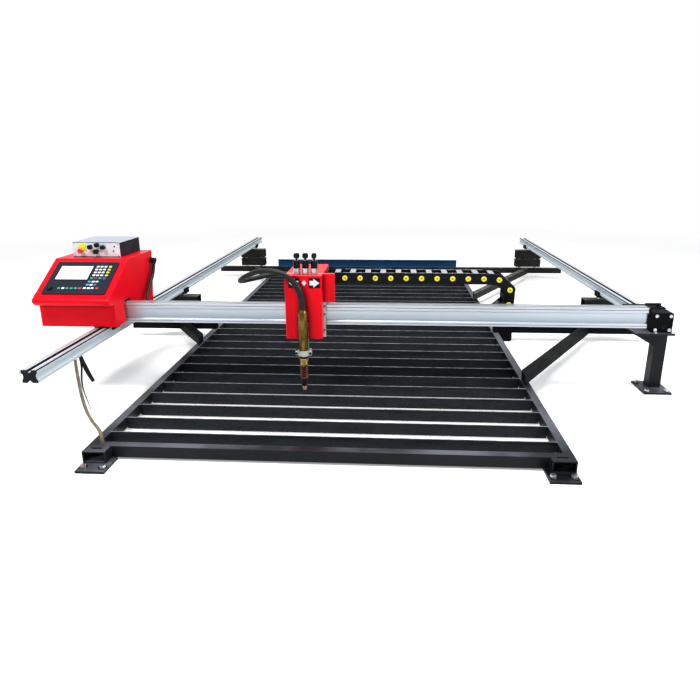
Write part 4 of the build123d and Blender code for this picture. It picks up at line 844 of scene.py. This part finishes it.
# controller face: keys and screen frame on the sloping panel
panel = {
    "corner": (-1321, -1207, 410), "slope": 30.45, "plate": 4, "keyWide": 11, "keyTall": 8.5,
    "keyRound": 1.6, "keyProud": 0.7, "keyEdge": 0.3, "screen": (-1272, -1145, 120, 198), "frameWide": 4,
    "frameThick": 1.6, "frameEdge": 0.4, "frameLift": 0.6}
keyCoat = {
    "edge": "#f2f4f6", "patchMm": 12, "gritMm": 2, "edgeMm": 0.4, "wearAndHighlight": 0.2, "rough": (0.34, 0.44),
    "bump": 0.05}
keyColours = {
    "white": ("#eef1f4", "#dfe4ea"), "yellow": ("#f2e33a", "#e6d52c"), "green": ("#2f9d86", "#278a75"),
    "red": ("#d8324e", "#c42844"), "blue": ("#2d6fae", "#255f98"), "cyan": ("#4aa3c9", "#3f92b6"),
    "dim": ("#7a3f4c", "#6b3643")}
digitRow = {-1126: "white", -1110.5: "white", -1095: "white", -1076: "yellow"}
keyRows = [  # how far up the slope, and the colour of the key at each x
    (196, digitRow), (179, digitRow), (162, digitRow), (145, digitRow),
    (128, {-1129: "green", -1113: "dim", -1097: "green", -1080: "blue"}),
    (108, {-1131: "cyan", -1116: "white", -1101: "white"}),
    (90, {-1133: "cyan", -1118: "white", -1103: "blue"}),
    (71, {-1137: "white", -1122: "white", -1107: "white", -1089: "red"}),
    (70, {-1238: "green", -1221.6: "white", -1205.2: "green", -1188.8: "green", -1172.4: "green",
          -1156: "red"})]


def onPanel(x, s, lift=0.0):  # place on the panel: x of the machine, s up the slope
    cornerX, cornerY, cornerZ = panel["corner"]
    start = shift(cornerX, cornerY, cornerZ) @ Matrix.Rotation(radians(panel["slope"]), 4, "X")
    return start @ shift(x - cornerX, s, panel["plate"] + lift)


def makeKeys():
    # silicone keys under a printed film: matt, even colours with a soft edge
    looks = [coated(f"printed_key_{name}", {"colour": colour, "shade": shade, **keyCoat})
             for name, (colour, shade) in keyColours.items()]
    order = list(keyColours)
    outline = roundedBox(panel["keyWide"], panel["keyTall"], panel["keyRound"])
    piece = bmesh.new()
    for s, row in keyRows:
        for x, colour in row.items():
            key = plate(outline, panel["keyProud"], panel["keyEdge"])
            put(piece, key, order.index(colour), onPanel(x, s))
    newPiece("keypad_keys", piece, looks, "gantry")


def makeScreenFrame():
    left, right, low, high = panel["screen"]
    border = panel["frameWide"]
    piece = bmesh.new()
    middleX, middleS = (left + right) / 2, (low + high) / 2
    wide, tall = right - left + 2 * border, high - low
    for x, s, size in (
            (middleX, high + border / 2, (wide, border)), (middleX, low - border / 2, (wide, border)),
            (left - border / 2, middleS, (border, tall)), (right + border / 2, middleS, (border, tall))):
        bar = slab((*size, panel["frameThick"]), panel["frameEdge"])
        put(piece, bar, 0, onPanel(x, s, panel["frameLift"]))
    newPiece("screen_frame", piece, [blackPlastic], "gantry")


makeKeys()
makeScreenFrame()
print("controller face finished")

# height box front: lamps, screws, dial marks and dark strips of painted shade at its joints
boxFace = {
    "y": -945, "left": -1270, "low": 537, "sides": 16, "lamps": [(175, 42), (169, 24)],
    "lens": [(0, 0), (3.2, 0), (3.2, 0.8), (2.4, 1.0), (2.1, 1.8), (1.2, 2.4), (0, 2.6)],
    "screws": [(6, 6), (189, 6), (6, 53), (189, 53)],
    "screwHead": [(0, 0), (2.6, 0), (2.4, 0.9), (1.4, 1.3), (1.3, 0.7), (0, 0.7)],
    "knobs": [(75, 40), (104, 48), (128, 39), (98, 22)], "ticks": 7, "tickFrom": 210, "tickTurn": 40,
    "tickRadius": 10.2, "tick": (1.4, 0.7, 0.3), "shadeStrips": [1.2, 57.6], "shadeStrip": (195, 2.2, 0.6),
    "edge": 0.1}
boxLooks = [blackPlastic, zincSteel, navyCase]


def onBox(dx, dz):  # place on the box's front, from its lower left corner
    return shift(boxFace["left"] + dx, boxFace["y"], boxFace["low"] + dz) @ turnY


def makeBoxFace():
    plastic, zinc, navy = range(len(boxLooks))
    piece = bmesh.new()
    for spots, profile, look in (("lamps", "lens", plastic), ("screws", "screwHead", zinc)):
        for dx, dz in boxFace[spots]:
            put(piece, turned(boxFace[profile], boxFace["sides"]), look, onBox(dx, dz))
    for dx, dz in boxFace["knobs"]:  # plain ticks round each knob
        for number in range(boxFace["ticks"]):
            angle = radians(boxFace["tickFrom"] - boxFace["tickTurn"] * number)
            spot = onBox(dx + boxFace["tickRadius"] * cos(angle), dz + boxFace["tickRadius"] * sin(angle))
            tick = slab(boxFace["tick"], boxFace["edge"], 1)
            put(piece, tick, navy, spot @ Matrix.Rotation(angle, 4, "Z"))
    for dz in boxFace["shadeStrips"]:  # dark strips of painted shade under the lid and along the foot of the front
        shadeStrip = slab(boxFace["shadeStrip"], boxFace["edge"], 1)
        put(piece, shadeStrip, navy, onBox(boxFace["shadeStrip"][0] / 2, dz))
    newPiece("height_box_fittings", piece, boxLooks, "gantry")


makeBoxFace()
print("height box finished")

# lifter cover label: two arrows and a plain mark
label = {
    "y": -1125, "left": -362, "right": -241, "middleZ": 471, "patch": 43, "tall": 38, "round": 1.5,
    "thick": 0.5,
    "arrow": [(-18, -8.5), (-4, -8.5), (-4, -17), (19, 0), (-4, 17), (-4, 8.5), (-18, 8.5)],
    "mark": [(0, -11), (9, 0), (0, 11), (-9, 0)]}
labelLooks = [blackFilm, whiteSheet]


def makeLabel():
    film, pale = range(len(labelLooks))
    piece = bmesh.new()
    thick = label["thick"]
    patch = roundedBox(label["patch"], label["tall"], label["round"])
    for x, way in ((label["left"] + label["patch"] / 2, -1), (label["right"] - label["patch"] / 2, 1)):
        place = shift(x, label["y"], label["middleZ"]) @ turnY
        put(piece, plate(patch, thick), film, place)
        outline = [(way * px, pz) for px, pz in label["arrow"]][::way]
        put(piece, plate(outline, thick), pale, place @ shift(0, 0, thick))
    place = shift((label["left"] + label["right"]) / 2, label["y"], label["middleZ"]) @ turnY
    put(piece, plate(label["mark"], thick), pale, place)
    newPiece("lifter_label", piece, labelLooks, "torch_carriage")


makeLabel()
print("label placed")

# torch fittings: clamp ears with their screws, a dark band under the clamp and a hexagon nut
torch = {
    "x": -306, "y": -1150, "clampZ": 207, "earIn": 18, "earOut": 31, "earDeep": 16, "earTall": 17,
    "earEdge": 1.5, "screwX": 26.5, "screwSides": 16, "bandSides": 28, "nutSides": 6,
    "screw": [(0, 0), (4.8, 0), (4.8, 4.2), (4.1, 5), (2.4, 5), (2.3, 2), (0, 2)],
    "bolt": [(0, 0), (3.6, 0), (3.6, 8.2), (2.8, 9), (0, 9)],
    "band": [(15.2, 187), (17.2, 187), (17.6, 188), (17.6, 195.4), (17.2, 196.4), (14.2, 196.4)],
    "nut": [(15.2, 176), (17.6, 176), (18.0, 177), (18.0, 185), (17.6, 186), (15.2, 186)]}
torchLooks = [torchMetal, blackPlastic, plateAluminium, zincSteel]


def makeTorchFittings():
    brass, plastic, pale, zinc = range(len(torchLooks))
    piece = bmesh.new()
    base = shift(torch["x"], torch["y"], 0)
    put(piece, turned(torch["band"], torch["bandSides"]), plastic, base)
    put(piece, turned(torch["nut"], torch["nutSides"]), brass, base)
    deep, tall, z = torch["earDeep"], torch["earTall"], torch["clampZ"]
    for side in (-1, 1):  # clamp ears: a screw head in front and a bolt end above each
        ear = slab((torch["earOut"] - torch["earIn"], deep, tall), torch["earEdge"])
        put(piece, ear, pale, base @ shift(side * (torch["earOut"] + torch["earIn"]) / 2, 0, z))
        screw = turned(torch["screw"], torch["screwSides"])
        put(piece, screw, plastic, base @ shift(side * torch["screwX"], -deep / 2, z) @ turnY)
        bolt = turned(torch["bolt"], torch["screwSides"])
        put(piece, bolt, zinc if side > 0 else plastic, base @ shift(side * torch["screwX"], 0, z + tall / 2))
    newPiece("torch_fittings", piece, torchLooks, "torch_lift")


makeTorchFittings()

# socket screws on the carriage plate
plateScrews = {
    "y": -1077, "places": [(-232, 341), (-232, 277), (-232, 372)], "sides": 16,
    "head": [(0, 0), (3.0, 0), (3.2, 0.4), (3.2, 3.0), (2.9, 3.3), (1.7, 3.3), (1.6, 1.6), (0, 1.6)]}


def makeCarriageScrews():
    piece = bmesh.new()
    for x, z in plateScrews["places"]:
        head = turned(plateScrews["head"], plateScrews["sides"])
        put(piece, head, 0, shift(x, plateScrews["y"], z) @ turnY)
    newPiece("carriage_screws", piece, [blackPlastic], "torch_carriage")


makeCarriageScrews()
print("torch and carriage fitted")

# racks with teeth cut into their pinion side, for a pinion of 12 mm radius and 18 teeth
# tip and root are shares of the pitch
rackTooth = {"pitch": 2 * pi * 12 / 18, "depth": 2.0, "tip": 0.28, "root": 0.62, "edge": 0.4}


def makeRack(name, node, body, along, outward):
    low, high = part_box(node)
    piece = bmesh.new()
    depth = rackTooth["depth"] * mm
    pitch = rackTooth["pitch"] * mm
    tip, root = rackTooth["tip"] / 2, rackTooth["root"] / 2
    across = 1 - along
    coreLow, coreHigh = low.copy(), high.copy()
    trimmed = coreLow if outward < 0 else coreHigh
    trimmed[across] -= outward * depth
    face = trimmed[across]
    core = slab((coreHigh - coreLow) / mm, rackTooth["edge"])
    put(piece, core, 0, Matrix.Translation((coreLow + coreHigh) / 2))
    for i in range(int((high - low)[along] / pitch)):
        middle = low[along] + (i + 0.5) * pitch
        corners = []
        for z in (low.z, high.z):
            for offset, lift in ((-root, 0), (-tip, 1), (tip, 1), (root, 0)):
                point = Vector((0, 0, z))
                point[along] = middle + offset * pitch
                point[across] = face + outward * lift * depth
                corners.append(piece.verts.new(point))
        a, b, c, d, e, f, g, h = corners
        for quad in ((a, b, c, d), (h, g, f, e), (a, e, f, b), (b, f, g, c), (c, g, h, d), (d, h, e, a)):
            piece.faces.new(quad)
    made = newPiece(name, piece, [zincSteel], body)
    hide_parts(node)


makeRack("travel_rack_toothed", "travel_rack", "machine_base", 1, -1)
makeRack("cross_rack_toothed", "cross_rack", "gantry", 0, 1)
print("racks toothed")

# stage: pale floor, soft light from above and a white surround, in metres
stageSet = {
    "half": 30, "whiteFrom": 3.0, "whiteTo": 6.0, "floor": "#f4f5f6", "rough": 0.9, "shine": 0.1,
    "lift": 0.3, "surround": 0.34}
lamps = [
    {"name": "softbox_left", "place": (-2.6, -3.2, 4.2), "size": 0.8, "watts": 150, "aim": (-0.2, -0.4, 0.2)},
    {"name": "softbox_top", "place": (-0.2, -1.2, 4.8), "size": 2.2, "watts": 130, "aim": (-0.2, -0.6, 0.2)},
    {"name": "softbox_right", "place": (3.4, -2.4, 2.6), "size": 2.6, "watts": 110, "aim": (-0.6, -0.8, 0.3)},
    {"name": "softbox_back", "place": (0.3, 3.6, 4.4), "size": 3.4, "watts": 50, "aim": (0, 0.2, 0.2)},
]
white = (1, 1, 1, 1)


def layFloor():  # paper that fades to white far from the machine, for the camera alone
    mesh = bpy.data.meshes.new("floor")
    half = stageSet["half"]
    corners = [(-half, -half, 0), (half, -half, 0), (half, half, 0), (-half, half, 0)]
    mesh.from_pydata(corners, [], [range(len(corners))])
    floor = bpy.data.objects.new("floor", mesh)
    scene.collection.objects.link(floor)
    material, tree, shader = startMaterial("studio_paper", {
        "Base Color": linear(stageSet["floor"]), "Roughness": stageSet["rough"],
        "Specular IOR Level": stageSet["shine"]})
    place = addNode(tree, "TexCoord").outputs["Object"]
    away = addNode(tree, "VectorMath", {0: place}, operation="LENGTH").outputs["Value"]
    far = addNode(tree, "MapRange", {"Value": away, "From Min": stageSet["whiteFrom"],
                                     "From Max": stageSet["whiteTo"]},
                  interpolation_type="SMOOTHSTEP").outputs[0]
    camera = addNode(tree, "LightPath").outputs["Is Camera Ray"]
    faded = addNode(tree, "Math", {0: far, 1: camera}, operation="MULTIPLY").outputs[0]
    lifted = addNode(tree, "Math", {0: camera, 1: stageSet["lift"]}, operation="MULTIPLY").outputs[0]
    glow = addNode(tree, "Emission", {"Color": white, "Strength": 1.0})
    faint = addNode(tree, "Emission", {"Color": white, "Strength": lifted})
    near = addNode(tree, "AddShader", {0: shader.outputs[0], 1: faint.outputs[0]})
    seen = addNode(tree, "MixShader", {0: faded, 1: near.outputs[0], 2: glow.outputs[0]})
    feed(tree, tree.nodes["Material Output"], {"Surface": seen.outputs[0]})
    mesh.materials.append(material)


def hangLamps():
    for lamp in lamps:
        data = bpy.data.lights.new(lamp["name"], "AREA")
        data.shape = "DISK"
        data.size = lamp["size"]
        data.energy = lamp["watts"]
        made = bpy.data.objects.new(lamp["name"], data)
        made.location = lamp["place"]
        made.rotation_euler = (Vector(lamp["aim"]) - made.location).to_track_quat("-Z", "Y").to_euler()
        scene.collection.objects.link(made)


def paintSurround():  # plain light on the machine, white to the camera and in reflections
    world = bpy.data.worlds.new("surround")
    scene.world = world
    world.use_nodes = True
    tree = world.node_tree
    path = addNode(tree, "LightPath").outputs
    shown = path["Is Camera Ray"]
    for ray in ("Is Glossy Ray", "Is Transmission Ray"):
        shown = addNode(tree, "Math", {0: shown, 1: path[ray]}, operation="MAXIMUM").outputs[0]
    strength = addNode(tree, "MapRange", {"Value": shown, "To Min": stageSet["surround"], "To Max": 1.0})
    feed(tree, tree.nodes["Background"], {"Color": white, "Strength": strength.outputs[0]})
    scene.view_settings.view_transform = "Standard"


layFloor()
hangLamps()
paintSurround()
print("stage set")
